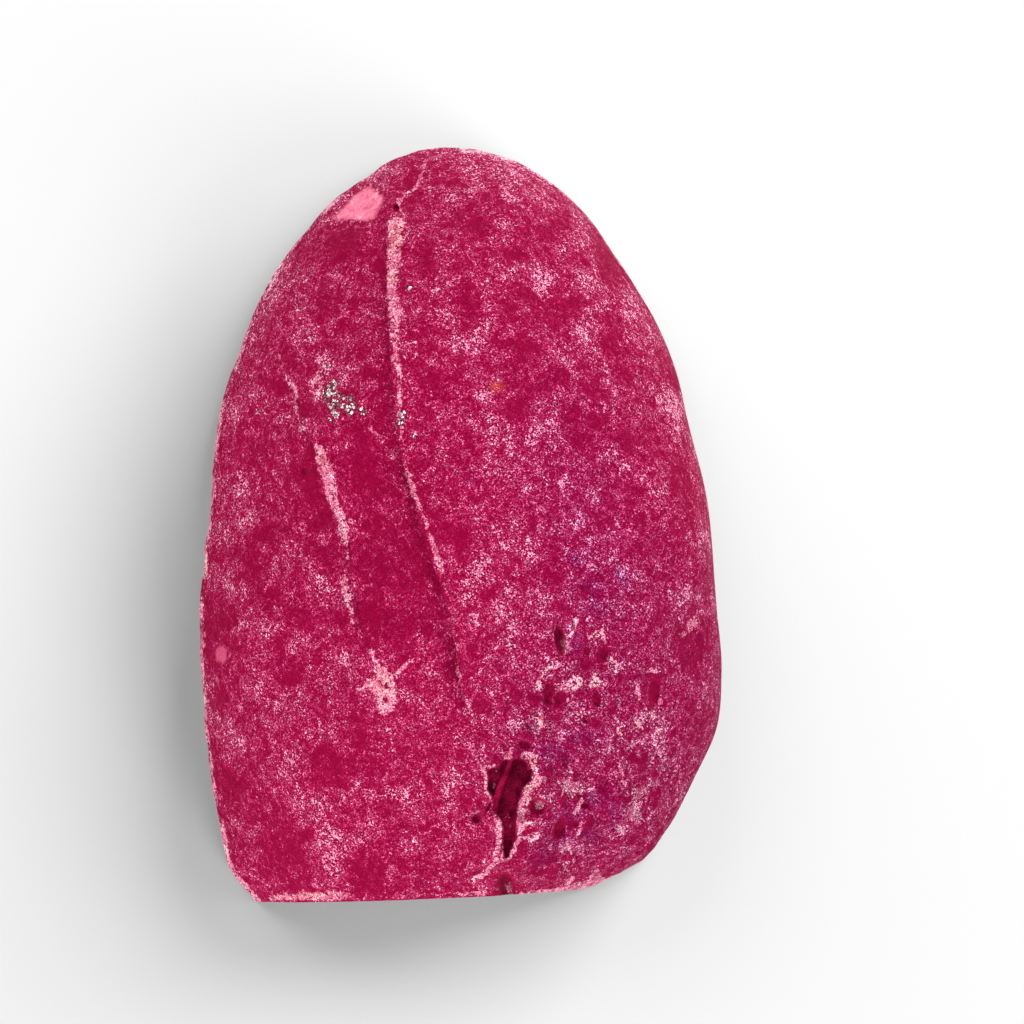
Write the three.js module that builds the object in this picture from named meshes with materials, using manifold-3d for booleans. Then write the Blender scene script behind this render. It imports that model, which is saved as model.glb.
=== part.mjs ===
// Agate specimen: one half of a dyed agate nodule, lying on its sawn face with the rind up.
// Millimetres, +Z up. The sawn face is the plane z = 0; the nodule's long axis runs along Y, and
// a second saw cut across the lower end, facing -Y, is the base that the stone can stand on.
import * as THREE from "three";
import { mergeVertices } from "three/addons/utils/BufferGeometryUtils.js";
import Module from "manifold-3d";

const wasm = await Module();
wasm.setup();

// ---- Driving dimensions -------------------------------------------------------------------

const CROWN_HEIGHT = 38; // sawn face to the top of the rind, before its swells and lumps
const BASE_CUT_Y = -59.6; // the sawn base crosses x = 0 here
const BASE_CUT_TURN = 0.04; // radians that the sawn base is out of square with the long axis
const CENTRE_X = 6; // axis of the uncut nodule
const CENTRE_Y = -5;
const WAIST_HEIGHT = -12; // mean height of the nodule's widest section over the sawn face
const WAIST_TILT = 22; // the widest section is this much higher on the right, lower on the left
const SHOULDER_POWER = 0.95; // under 1 gives fuller shoulders than an ellipsoid
const SHOULDER_TILT = 0.08; // fuller by this much on the right, and leaner on the left
const RIND_DETAIL = 24; // subdivision of the ball that the rind is shaped from
const PIT_DETAIL = 3; // subdivision of the balls that hollow out the pits
const PIT_ROUGHNESS = 0.16; // how far a pit's wall strays from an ellipsoid, as a share of it

// Widest outline of the nodule, seen along -Z, counter-clockwise from the right.
const OUTLINE = [
  [40.2, -4.6], [38.5, 7.5], [36.4, 15.6], [34.6, 23.5], [29.4, 35.4], [25, 42.2], [21.6, 47.1],
  [12.8, 55.5], [7.2, 58.4], [-1, 59.9], [-11.2, 57.1], [-15.4, 54.2], [-20, 50.9], [-27, 43.5],
  [-33.4, 31.6], [-37.5, 20], [-39.4, 5], [-40.9, -8.6], [-41.3, -22], [-40.2, -34], [-39, -47.5],
  [-36.4, -56.8], [-33, -60.6], [-27, -66.3], [-14, -71.5], [0, -70.5], [14, -62], [24, -57],
  [29.6, -53.7], [33, -49.4], [37.5, -40.8], [41, -32.8], [41.7, -24.2], [40.9, -14],
];

// Healed cracks. The rind stands higher on the right of each one than on the left.
const LONG_SEAM = {
  route: [
    [-11.8, 52], [-11.5, 40], [-10.4, 24], [-9.3, 10], [-6.8, 3], [-4.8, -3.8], [-2.4, -11],
    [-0.6, -20], [0.3, -27], [1.9, -33],
  ],
  rise: 1.3,
  drop: 0.9,
  reach: 9,
};
const SHORT_SEAM = {
  route: [[-28.8, 26], [-26.1, 20], [-23.2, 12], [-22, 5], [-18.4, -3], [-17, -12], [-12.8, -24]],
  rise: 0.8,
  drop: 0.9,
  reach: 7,
};

// Broad swells of the rind: amplitude, wave vector in radians per millimetre, phase.
const SWELLS = [
  { size: 0.75, wave: [0.115, 0.05, 0.04], phase: 0.4 },
  { size: 0.6, wave: [-0.06, 0.13, 0.05], phase: 2.1 },
  { size: 0.5, wave: [0.19, -0.12, 0.1], phase: 4.0 },
  { size: 0.3, wave: [0.27, 0.24, -0.12], phase: 1.3 },
  { size: 0.26, wave: [-0.33, 0.3, 0.2], phase: 5.2 },
];

// Lumps are spread in a sunflower pattern over a patch of rind: the knobbly lower right and,
// lower and wider, the rest.
const KNOBS = { centre: [21, -42], half: [17, 16], count: 34, radius: 2.5, height: 1.3 };
const BUMPS = { centre: [0, 0], half: [44, 62], count: 150, radius: 3.6, height: 0.5 };
const GOLDEN_ANGLE = Math.PI * (3 - Math.sqrt(5));

// A raised lip runs round the mouth of the large cavity.
const CAVITY_LIP = { centre: [8.3, -45.5], half: [4.2, 8.8], turn: -0.16, width: 0.3, height: 0.9 };

// Pits: place of the mouth, half width, half length, depth, and turn about Z in radians.
const PITS = [
  { at: [9.3, -41.2], half: [1.9, 3.9], depth: 4, turn: -0.1 }, // cavity, upper channel
  { at: [7.9, -47.8], half: [1.4, 6], depth: 3.4, turn: -0.15 }, // cavity, lower channel
  { at: [5.9, -42], half: [1.3, 3.4], depth: 2.6, turn: -0.25 }, // cavity, left shelf
  { at: [2.7, -47.4], half: [0.95, 1.3], depth: 1.3, turn: -0.1 },
  { at: [15.9, -19.1], half: [1.1, 2.8], depth: 1.6, turn: 0.15 },
  { at: [14.3, -27.5], half: [1.1, 2.7], depth: 1.4, turn: -0.15 },
  { at: [31, -27.1], half: [1.3, 2.7], depth: 1, turn: -0.1 },
  { at: [23, -21.3], half: [1, 1.6], depth: 1, turn: -0.4 },
  { at: [-24.8, 6.5], half: [1.3, 4], depth: 1.3, turn: 0.15 }, // hollow beside the short seam
  { at: [7.2, -58.2], half: [1.9, 2.4], depth: 2.6, turn: 0.3 }, // notch at the base edge
];

// A chip struck off at the upper left has left a smooth flat facet, facing up and outwards.
const CHIP = { at: [-15.95, 50.15, 6.8], facing: [-0.56, 0.66, 0.5], reach: 24 };

const UP = new THREE.Vector3(0, 0, 1);

// Moves the finished stone so that its bounding box stands centred over the origin.
const CENTRING = [0, 0.6, 0];

// ---- The rind's surface -------------------------------------------------------------------

// The outline as radius against angle about the nodule's axis.
const outlineRadii = OUTLINE.map(([x, y]) => ({
  angle: Math.atan2(y - CENTRE_Y, x - CENTRE_X),
  radius: Math.hypot(x - CENTRE_X, y - CENTRE_Y),
})).sort((a, b) => a.angle - b.angle);

// Radius of the outline at an angle: a smooth cubic through its points, with no end.
function outlineRadius(angle) {
  const count = outlineRadii.length;
  const turn = 2 * Math.PI;
  let next = outlineRadii.findIndex((point) => point.angle > angle);
  if (next < 0) next = count;
  const knot = (index) => {
    const point = outlineRadii[(index + count) % count];
    return { angle: point.angle + turn * Math.floor(index / count), radius: point.radius };
  };
  const [before, start, end, after] = [next - 2, next - 1, next, next + 1].map(knot);
  const span = end.angle - start.angle;
  const startSlope = ((end.radius - before.radius) / (end.angle - before.angle)) * span;
  const endSlope = ((after.radius - start.radius) / (after.angle - start.angle)) * span;
  const t = (angle - start.angle) / span;
  return (
    start.radius * (2 * t ** 3 - 3 * t ** 2 + 1) +
    startSlope * (t ** 3 - 2 * t ** 2 + t) +
    end.radius * (3 * t ** 2 - 2 * t ** 3) +
    endSlope * (t ** 3 - t ** 2)
  );
}

// Where a seam passes a point: signed distance, positive on its right, and the share of its
// length at the nearest place.
function pastSeam(x, y, route) {
  let nearest = { distance: Infinity, side: 1, share: 0 };
  for (let i = 0; i + 1 < route.length; i += 1) {
    const [startX, startY] = route[i];
    const runX = route[i + 1][0] - startX;
    const runY = route[i + 1][1] - startY;
    const along = ((x - startX) * runX + (y - startY) * runY) / (runX * runX + runY * runY);
    const t = THREE.MathUtils.clamp(along, 0, 1);
    const offX = x - startX - t * runX;
    const offY = y - startY - t * runY;
    const distance = Math.hypot(offX, offY);
    if (distance < nearest.distance) {
      const side = Math.sign(offY * runX - offX * runY) || 1;
      nearest = { distance, side, share: (i + t) / (route.length - 1) };
    }
  }
  return nearest;
}

// Height of the ledge along a seam: it fades away from the crack and towards its ends.
function ledge(x, y, seam) {
  const { distance, side, share } = pastSeam(x, y, seam.route);
  const start = THREE.MathUtils.smoothstep(share, 0, 0.15);
  const end = 1 - THREE.MathUtils.smoothstep(share, 0.8, 1);
  const height = side > 0 ? seam.rise : -seam.drop;
  return height * start * end * Math.exp(-distance / seam.reach);
}

// Height of a field of rounded lumps in a sunflower pattern.
function lumps(x, y, field) {
  let height = 0;
  for (let i = 0; i < field.count; i += 1) {
    const out = Math.sqrt((i + 0.5) / field.count);
    const heading = i * GOLDEN_ANGLE;
    const lumpX = field.centre[0] + field.half[0] * out * Math.cos(heading);
    const lumpY = field.centre[1] + field.half[1] * out * Math.sin(heading);
    const radius = field.radius * (1 + 0.35 * Math.sin(3.7 * i));
    const far = Math.hypot(x - lumpX, y - lumpY) / radius;
    height += field.height * (1 + 0.4 * Math.sin(5.3 * i)) * Math.exp(-far * far);
  }
  return height;
}

// Height of the raised lip round the large cavity.
function lip(x, y) {
  const cos = Math.cos(CAVITY_LIP.turn);
  const sin = Math.sin(CAVITY_LIP.turn);
  const awayX = x - CAVITY_LIP.centre[0];
  const awayY = y - CAVITY_LIP.centre[1];
  const u = (awayX * cos + awayY * sin) / CAVITY_LIP.half[0];
  const v = (awayY * cos - awayX * sin) / CAVITY_LIP.half[1];
  const off = (Math.hypot(u, v) - 1) / CAVITY_LIP.width;
  return CAVITY_LIP.height * Math.exp(-off * off);
}

// Point of the rind for a direction from the nodule's middle.
function rindPoint(direction) {
  const heading = Math.atan2(direction.y, direction.x);
  const flat = Math.hypot(direction.x, direction.y);
  const waist = WAIST_HEIGHT + WAIST_TILT * Math.cos(heading);
  const shoulder = SHOULDER_POWER - SHOULDER_TILT * Math.cos(heading);
  const crown = CROWN_HEIGHT - waist;
  const sunk = Math.max(0, -waist) / crown;
  const girth = outlineRadius(heading) / Math.sqrt(1 - sunk * sunk) ** shoulder;
  const reach = girth * flat ** shoulder;
  const smooth = new THREE.Vector3(
    CENTRE_X + reach * Math.cos(heading),
    CENTRE_Y + reach * Math.sin(heading),
    waist + crown * direction.z,
  );
  const { x, y, z } = smooth;
  let lift = ledge(x, y, LONG_SEAM) + ledge(x, y, SHORT_SEAM);
  lift += lumps(x, y, KNOBS) + lumps(x, y, BUMPS) + lip(x, y);
  for (const { size, wave, phase } of SWELLS) {
    lift += size * Math.sin(wave[0] * x + wave[1] * y + wave[2] * z + phase);
  }
  // The relief dies away at the rim, so that the outline keeps its size.
  const facing = new THREE.Vector3(direction.x / girth, direction.y / girth, direction.z / crown);
  facing.normalize();
  return smooth.addScaledVector(facing, lift * facing.z);
}

// ---- Solids -------------------------------------------------------------------------------

// A closed geometry as a solid that can be cut.
function solidOf(geometry) {
  geometry.deleteAttribute("normal");
  geometry.deleteAttribute("uv");
  const merged = mergeVertices(geometry);
  const vertProperties = new Float32Array(merged.attributes.position.array);
  const triVerts = new Uint32Array(merged.index.array);
  return new wasm.Manifold(new wasm.Mesh({ numProp: 3, vertProperties, triVerts }));
}

// The whole nodule before it is sawn.
function nodule() {
  const geometry = new THREE.IcosahedronGeometry(1, RIND_DETAIL);
  geometry.deleteAttribute("normal");
  geometry.deleteAttribute("uv");
  const ball = mergeVertices(geometry);
  const place = ball.attributes.position;
  const direction = new THREE.Vector3();
  for (let i = 0; i < place.count; i += 1) {
    direction.fromBufferAttribute(place, i).normalize();
    const point = rindPoint(direction);
    place.setXYZ(i, point.x, point.y, point.z);
  }
  return solidOf(ball);
}

// The rind's height over the sawn face at a place, found from the direction that leads there.
function rindAt([x, y]) {
  const direction = new THREE.Vector3();
  const heading = Math.atan2(y - CENTRE_Y, x - CENTRE_X);
  const away = Math.hypot(x - CENTRE_X, y - CENTRE_Y);
  let low = 0;
  let high = Math.PI / 2;
  let point = new THREE.Vector3();
  for (let step = 0; step < 30; step += 1) {
    const climb = (low + high) / 2;
    direction.set(Math.cos(climb), 0, Math.sin(climb)).applyAxisAngle(UP, heading);
    point = rindPoint(direction);
    if (Math.hypot(point.x - CENTRE_X, point.y - CENTRE_Y) > away) low = climb;
    else high = climb;
  }
  return point;
}

// The tool that hollows out a pit: an uneven ball squashed to the pit's size, sunk to its middle.
function pitTool({ at, half, depth, turn }) {
  const mouth = rindAt(at);
  const ball = new THREE.IcosahedronGeometry(1, PIT_DETAIL);
  const place = ball.attributes.position;
  const spot = new THREE.Vector3();
  for (let i = 0; i < place.count; i += 1) {
    spot.fromBufferAttribute(place, i);
    const wave = Math.sin(4 * spot.x + at[0]) + Math.sin(5 * spot.y + at[1]);
    spot.multiplyScalar(1 + (PIT_ROUGHNESS * wave) / 2);
    place.setXYZ(i, spot.x, spot.y, spot.z);
  }
  ball.scale(half[0], half[1], depth).rotateZ(turn).translate(at[0], at[1], mouth.z);
  return solidOf(ball);
}

// The tool that strikes off the chip: a block that stands on the facet's plane.
function chipTool() {
  const facing = new THREE.Vector3(...CHIP.facing).normalize();
  const slab = new THREE.BoxGeometry(CHIP.reach, CHIP.reach, CHIP.reach);
  slab.translate(0, 0, CHIP.reach / 2);
  slab.applyQuaternion(new THREE.Quaternion().setFromUnitVectors(UP, facing));
  return solidOf(slab.translate(...CHIP.at));
}

// What the two saw cuts leave: a block that stands on the sawn face and ends at the sawn base.
function sawnBlock() {
  const far = 200;
  const kept = new THREE.BoxGeometry(2 * far, 2 * far, far).translate(0, far, far / 2);
  return solidOf(kept.rotateZ(BASE_CUT_TURN).translate(0, BASE_CUT_Y, 0));
}

// The specimen: the nodule, sawn through and across its lower end, then pitted and chipped.
function agateStone() {
  let stone = nodule().intersect(sawnBlock());
  for (const pit of PITS) stone = stone.subtract(pitTool(pit));
  return stone.subtract(chipTool());
}

// A finished solid as a named mesh.
function pieceOf(solid, name, material) {
  const { vertProperties, triVerts } = solid.getMesh();
  const geometry = new THREE.BufferGeometry();
  geometry.setAttribute("position", new THREE.BufferAttribute(new Float32Array(vertProperties), 3));
  geometry.setIndex(new THREE.BufferAttribute(new Uint32Array(triVerts), 1));
  geometry.computeVertexNormals();
  const mesh = new THREE.Mesh(geometry, material);
  mesh.name = name;
  return mesh;
}

const dyedRind = new THREE.MeshStandardMaterial({ color: 0xb02d58, roughness: 0.75, metalness: 0 });

const stone = pieceOf(agateStone(), "agate_stone", dyedRind);
stone.position.set(...CENTRING);

const specimen = new THREE.Group();
specimen.add(stone);

export default specimen;
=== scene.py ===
# %% [markdown]
# # Half of a dyed agate nodule
# The object is one stone: a nodule of agate that was sawn in half, sawn again across one end so
# that it can stand, and dyed crimson. It lies on its sawn face, so what shows is the rind: dull,
# knobbly, frosted with tiny pale crystals, crossed by two healed cracks and broken by a cavity.
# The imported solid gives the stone's place and size. A finer stone is grown here from a ball.
# Sizes and places are in millimetres, and they are turned into metres where Blender takes them.

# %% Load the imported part
import math

import bmesh
import bpy
import numpy as np
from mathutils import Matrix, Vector, noise


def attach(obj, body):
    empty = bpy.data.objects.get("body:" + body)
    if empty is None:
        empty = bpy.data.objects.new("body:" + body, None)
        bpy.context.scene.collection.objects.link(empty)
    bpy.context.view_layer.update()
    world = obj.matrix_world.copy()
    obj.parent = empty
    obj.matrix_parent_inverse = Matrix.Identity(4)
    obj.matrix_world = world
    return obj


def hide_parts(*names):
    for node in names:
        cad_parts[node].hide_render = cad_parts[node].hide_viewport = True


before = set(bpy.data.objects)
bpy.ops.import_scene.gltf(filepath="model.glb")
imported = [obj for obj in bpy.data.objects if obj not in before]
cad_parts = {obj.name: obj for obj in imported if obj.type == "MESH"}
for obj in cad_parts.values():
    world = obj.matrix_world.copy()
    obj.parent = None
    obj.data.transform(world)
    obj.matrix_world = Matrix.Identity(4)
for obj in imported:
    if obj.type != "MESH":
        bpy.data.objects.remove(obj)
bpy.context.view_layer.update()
MM = 0.001

# %% [markdown]
# ## Camera
# The stone is seen straight from above, from far enough away that its sides hardly lean
# outwards. The lens is worked out from the width of floor that fills the view.

# %% Camera
VIEW_WIDTH = 163.84
CAMERA_HEIGHT = 1600.0
CAMERA_FOOT = (8.32, 2.04)
SENSOR = 36.0

camera_data = bpy.data.cameras.new("camera")
camera_data.sensor_width = SENSOR
camera_data.lens = SENSOR * CAMERA_HEIGHT / VIEW_WIDTH
camera_data.clip_start = 0.1
camera_data.clip_end = 20.0
camera = bpy.data.objects.new("camera", camera_data)
camera.location = [side * MM for side in (*CAMERA_FOOT, CAMERA_HEIGHT)]
bpy.context.scene.collection.objects.link(camera)
bpy.context.scene.camera = camera
print("lens, mm:", round(camera_data.lens, 1))

# %% [markdown]
# ## Floor and light
# A pale floor and a pale sky give the soft studio light. Four broad, low windows, the strongest
# on the upper right, lay a soft shadow along the stone's left side and its base. They reach the
# floor alone: the stone has a softbox overhead and two low ones, which keep its colour even.
# Suns and a sky can't get in the way of a camera, whichever side the stone is seen from.

# %% Floor
FLOOR_SIZE = 8.0
FLOOR_WHITE = 0.86
FLOOR_ROUGHNESS = 0.9

floor_paper = bpy.data.materials.new("floor_paper")
floor_paper.use_nodes = True
paper_shader = floor_paper.node_tree.nodes["Principled BSDF"]
paper_shader.inputs["Base Color"].default_value = (FLOOR_WHITE, FLOOR_WHITE, FLOOR_WHITE, 1.0)
paper_shader.inputs["Roughness"].default_value = FLOOR_ROUGHNESS

floor_mesh = bpy.data.meshes.new("floor")
floor_form = bmesh.new()
bmesh.ops.create_grid(floor_form, x_segments=1, y_segments=1, size=FLOOR_SIZE / 2)
floor_form.to_mesh(floor_mesh)
floor_form.free()
floor_mesh.materials.append(floor_paper)
floor = bpy.data.objects.new("floor", floor_mesh)
bpy.context.scene.collection.objects.link(floor)
print("floor, m:", FLOOR_SIZE)

# %% Light
# Each light's heading from the right, its rise and its spread, all in degrees, and its strength.
SUNS = {
    "floor": {
        "upper_window": {"heading": 40, "rise": 18, "spread": 50, "strength": 5.05},
        "lower_window": {"heading": 320, "rise": 30, "spread": 24, "strength": 1.1},
        "left_window": {"heading": 120, "rise": 28, "spread": 50, "strength": 1.25},
        "right_window": {"heading": 0, "rise": 30, "spread": 24, "strength": 0.6},
    },
    "stone": {
        "overhead_softbox": {"heading": 0, "rise": 89, "spread": 160, "strength": 2.08},
        "upper_softbox": {"heading": 60, "rise": 18, "spread": 80, "strength": 2.5},
        "lower_softbox": {"heading": 240, "rise": 18, "spread": 80, "strength": 2.7},
    },
}
SKY_STRENGTH = 0.2


def add_sun(name, heading, rise, spread, strength, lit):
    """A sun that stands over a heading and lights the objects of one collection only."""
    heading, rise = math.radians(heading), math.radians(rise)
    towards = Vector((
        math.cos(rise) * math.cos(heading), math.cos(rise) * math.sin(heading), math.sin(rise)
    ))
    sun_data = bpy.data.lights.new(name, "SUN")
    sun_data.energy = strength
    sun_data.angle = math.radians(spread)
    sun = bpy.data.objects.new(name, sun_data)
    sun.rotation_mode = "QUATERNION"
    sun.rotation_quaternion = towards.to_track_quat("Z", "Y")
    sun.light_linking.receiver_collection = lit
    bpy.context.scene.collection.objects.link(sun)


lit_groups = {name: bpy.data.collections.new("lit_" + name) for name in SUNS}
lit_groups["floor"].objects.link(floor)
for group_name, suns in SUNS.items():
    for name, kind in suns.items():
        add_sun(name, **kind, lit=lit_groups[group_name])
    print("lights on the", group_name + ":", len(suns))

sky = bpy.data.worlds.new("pale_sky")
sky.use_nodes = True
sky.node_tree.nodes["Background"].inputs["Color"].default_value = (1.0, 1.0, 1.0, 1.0)
sky.node_tree.nodes["Background"].inputs["Strength"].default_value = SKY_STRENGTH
bpy.context.scene.world = sky
bpy.context.scene.view_settings.view_transform = "Standard"

# %% [markdown]
# ## The nodule's form
# An uncut nodule is an uneven egg. Seen from above it has an outline, given here by a few
# points, and between the outline and the crown it bulges like an ellipsoid. Its widest section
# lies deeper on the left than on the right, so the saw met the left side at a sharp angle and
# the right side rounds under. A formula gives a point of the rind for every direction from the
# middle, so any ball can be shaped into the nodule.

# %% The nodule's sizes
CROWN_HEIGHT = 38.0
CENTRE = (6.0, -5.0)
WAIST_HEIGHT = -12.0
WAIST_TILT = 22.0
SHOULDER_POWER = 0.95
SHOULDER_TILT = 0.08
OUTLINE = np.array([
    (40.2, -4.6), (38.5, 7.5), (36.4, 15.6), (34.6, 23.5), (29.4, 35.4), (25, 42.2), (21.6, 47.1),
    (12.8, 55.5), (7.2, 58.4), (-1, 59.9), (-11.2, 57.1), (-15.4, 54.2), (-20, 50.9), (-27, 43.5),
    (-33.4, 31.6), (-37.5, 20), (-39.4, 5), (-40.9, -8.6), (-41.3, -22), (-40.2, -34),
    (-39, -47.5), (-36.4, -56.8), (-33, -60.6), (-27, -66.3), (-14, -71.5), (0, -70.5), (14, -62),
    (24, -57), (29.6, -53.7), (33, -49.4), (37.5, -40.8), (41, -32.8), (41.7, -24.2), (40.9, -14),
])

# %% The outline's radius at a heading


def outline_radius(heading):
    """Distance from the nodule's axis to its outline, by a smooth cubic through the points."""
    away = OUTLINE - CENTRE
    angles = np.arctan2(away[:, 1], away[:, 0])
    order = np.argsort(angles)
    turn = 2 * math.pi
    knots = np.concatenate([angles[order] - turn, angles[order], angles[order] + turn])
    radii = np.tile(np.hypot(away[:, 0], away[:, 1])[order], 3)
    slopes = np.zeros_like(radii)
    slopes[1:-1] = (radii[2:] - radii[:-2]) / (knots[2:] - knots[:-2])
    start = np.searchsorted(knots, heading, side="right") - 1
    span = knots[start + 1] - knots[start]
    t = (heading - knots[start]) / span
    return (
        radii[start] * (2 * t**3 - 3 * t**2 + 1)
        + slopes[start] * span * (t**3 - 2 * t**2 + t)
        + radii[start + 1] * (3 * t**2 - 2 * t**3)
        + slopes[start + 1] * span * (t**3 - t**2)
    )


def smooth_nodule(directions):
    """Points of the nodule before its relief, and the way that each one faces."""
    heading = np.arctan2(directions[:, 1], directions[:, 0])
    flat = np.hypot(directions[:, 0], directions[:, 1])
    waist = WAIST_HEIGHT + WAIST_TILT * np.cos(heading)
    shoulder = SHOULDER_POWER - SHOULDER_TILT * np.cos(heading)
    crown = CROWN_HEIGHT - waist
    sunk = np.maximum(0, -waist) / crown
    girth = outline_radius(heading) / np.sqrt(1 - sunk**2) ** shoulder
    reach = girth * flat**shoulder
    points = np.stack([
        CENTRE[0] + reach * np.cos(heading),
        CENTRE[1] + reach * np.sin(heading),
        waist + crown * directions[:, 2],
    ], axis=1)
    facing = directions / np.stack([girth, girth, crown], axis=1)
    facing /= np.linalg.norm(facing, axis=1, keepdims=True)
    return points, facing


print("outline:", len(OUTLINE), "points")

# %% [markdown]
# ## Places on the rind
# The rind's features are laid out on a plan, as seen from above. A place is an oval: its centre,
# half its width, half its length and a turn in degrees, or it is a route or a closed outline.
# Each was put where it lies on the stone. A point that stands high looks farther from the middle
# of the view than it is, so its plan place is read where the camera sees it.

# %% Where the view from above shows a point
CENTRING = (0.0, 0.6, 0.0)
VIEW_FOOT = np.subtract(CAMERA_FOOT, CENTRING[:2])


def seen_plan(points):
    """The plan place that lines up with a raised point in a view from the camera's height."""
    spread = CAMERA_HEIGHT / (CAMERA_HEIGHT - points[:, 2:])
    return VIEW_FOOT + (points[:, :2] - VIEW_FOOT) * spread


print("view's foot on the uncentred plan:", VIEW_FOOT.tolist())

# %% Measuring against a place


def ramp(value, low, high):
    """0 below low and 1 above high (or the other way round), with a soft S between them."""
    t = np.clip((value - low) / (high - low), 0, 1)
    return t * t * (3 - 2 * t)


def from_route(plan, route):
    """Distance from a route of straight stretches, the side (1 right, -1 left), and how far along."""
    nearest = np.full(len(plan), np.inf)
    side = np.ones(len(plan))
    share = np.zeros(len(plan))
    for step, (start, end) in enumerate(zip(route[:-1], route[1:])):
        run = np.subtract(end, start)
        off = plan - start
        t = np.clip(off @ run / (run @ run), 0, 1)
        off = off - t[:, None] * run
        distance = np.hypot(off[:, 0], off[:, 1])
        closer = distance < nearest
        nearest[closer] = distance[closer]
        side[closer] = np.where(off[closer, 1] * run[0] - off[closer, 0] * run[1] < 0, -1, 1)
        share[closer] = (step + t[closer]) / (len(route) - 1)
    return nearest, side, share


def from_mouth(plan, corners):
    """Distance inside a closed outline, negative outside it."""
    distance, _, _ = from_route(plan, [*corners, corners[0]])
    inside = np.zeros(len(plan), bool)
    for (start_x, start_y), (end_x, end_y) in zip(corners, [*corners[1:], corners[0]]):
        spans = (start_y > plan[:, 1]) != (end_y > plan[:, 1])
        crossing = start_x + (plan[:, 1] - start_y) * (end_x - start_x) / (end_y - start_y or 1)
        inside ^= spans & (plan[:, 0] < crossing)
    return np.where(inside, distance, -distance)


def from_oval(plan, x, y, half_x, half_y, turn=0):
    """0 at an oval's centre and 1 at its edge."""
    cos, sin = math.cos(math.radians(turn)), math.sin(math.radians(turn))
    off_x, off_y = plan[:, 0] - x, plan[:, 1] - y
    return np.hypot((off_x * cos + off_y * sin) / half_x, (off_y * cos - off_x * sin) / half_y)


# %% [markdown]
# ## Relief
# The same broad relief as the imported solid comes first: ledges along the two healed cracks (the
# seams), lumps, swells and the lip of the cavity. Finer lumps from noise go on top, more of them
# at the knobbly lower right, and last the pits and the cavity are sunk. Everything moves along
# the way the smooth nodule faces, so the ball's mesh never folds over itself.

# %% Seams: one side stands up and the other is sunk
LONG_SEAM = {
    "route": [
        (-11.8, 52), (-11.5, 40), (-10.4, 24), (-9.3, 10), (-6.8, 3), (-4.8, -3.8),
        (-2.4, -11), (-0.6, -20), (0.3, -27), (1.9, -33),
    ],
    "rise": 1.3,
    "drop": 0.9,
    "reach": 9.0,
}
SHORT_SEAM = {
    "route": [
        (-28.8, 26), (-26.1, 20), (-23.2, 12), (-22, 5), (-18.4, -3), (-17, -12), (-12.8, -24),
    ],
    "rise": 0.8,
    "drop": 0.9,
    "reach": 7.0,
}


def ledge(plan, seam):
    """Height along a seam: the right side stands up and the left side is sunk."""
    distance, side, share = from_route(plan, seam["route"])
    ends = ramp(share, 0, 0.15) * (1 - ramp(share, 0.8, 1))
    return np.where(side > 0, seam["rise"], -seam["drop"]) * ends * np.exp(-distance / seam["reach"])


# %% Lumps, swells and the lip of the cavity
# Fields of lumps: the middle, half the width and length, and the lumps' mean radius and height.
KNOBS = {"centre": (21, -42), "half": (17, 16), "count": 34, "radius": 2.5, "height": 1.3}
BUMPS = {"centre": (0, 0), "half": (44, 62), "count": 150, "radius": 3.6, "height": 0.5}
# The lip is a raised ring: its oval, how wide the ring is as a share of the oval, and its height.
CAVITY_LIP = {"oval": (8.3, -45.5, 4.2, 8.8, math.degrees(-0.16)), "width": 0.3, "height": 0.9}
# Swells are broad waves: size, how fast each turns along x, y and z, and its phase.
SWELLS = [
    (0.75, (0.115, 0.05, 0.04), 0.4),
    (0.6, (-0.06, 0.13, 0.05), 2.1),
    (0.5, (0.19, -0.12, 0.1), 4.0),
    (0.3, (0.27, 0.24, -0.12), 1.3),
    (0.26, (-0.33, 0.3, 0.2), 5.2),
]
GOLDEN_ANGLE = math.pi * (3 - math.sqrt(5))


def lumps(plan, field):
    """Height of rounded lumps, set out in a sunflower pattern."""
    height = np.zeros(len(plan))
    for i in range(field["count"]):
        out = math.sqrt((i + 0.5) / field["count"])
        x = field["centre"][0] + field["half"][0] * out * math.cos(i * GOLDEN_ANGLE)
        y = field["centre"][1] + field["half"][1] * out * math.sin(i * GOLDEN_ANGLE)
        radius = field["radius"] * (1 + 0.35 * math.sin(3.7 * i))
        tall = field["height"] * (1 + 0.4 * math.sin(5.3 * i))
        far = np.hypot(plan[:, 0] - x, plan[:, 1] - y) / radius
        height += tall * np.exp(-far * far)
    return height


def broad_relief(points, plan):
    """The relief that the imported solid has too, with the seams where the view shows them."""
    height = ledge(plan, LONG_SEAM) + ledge(plan, SHORT_SEAM)
    height += lumps(points[:, :2], KNOBS) + lumps(points[:, :2], BUMPS)
    lip = from_oval(plan, *CAVITY_LIP["oval"])
    height += CAVITY_LIP["height"] * np.exp(-(((lip - 1) / CAVITY_LIP["width"]) ** 2))
    for size, wave, phase in SWELLS:
        height += size * np.sin(points @ np.array(wave) + phase)
    return height


print("lumps:", KNOBS["count"] + BUMPS["count"], "swells:", len(SWELLS))

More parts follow.
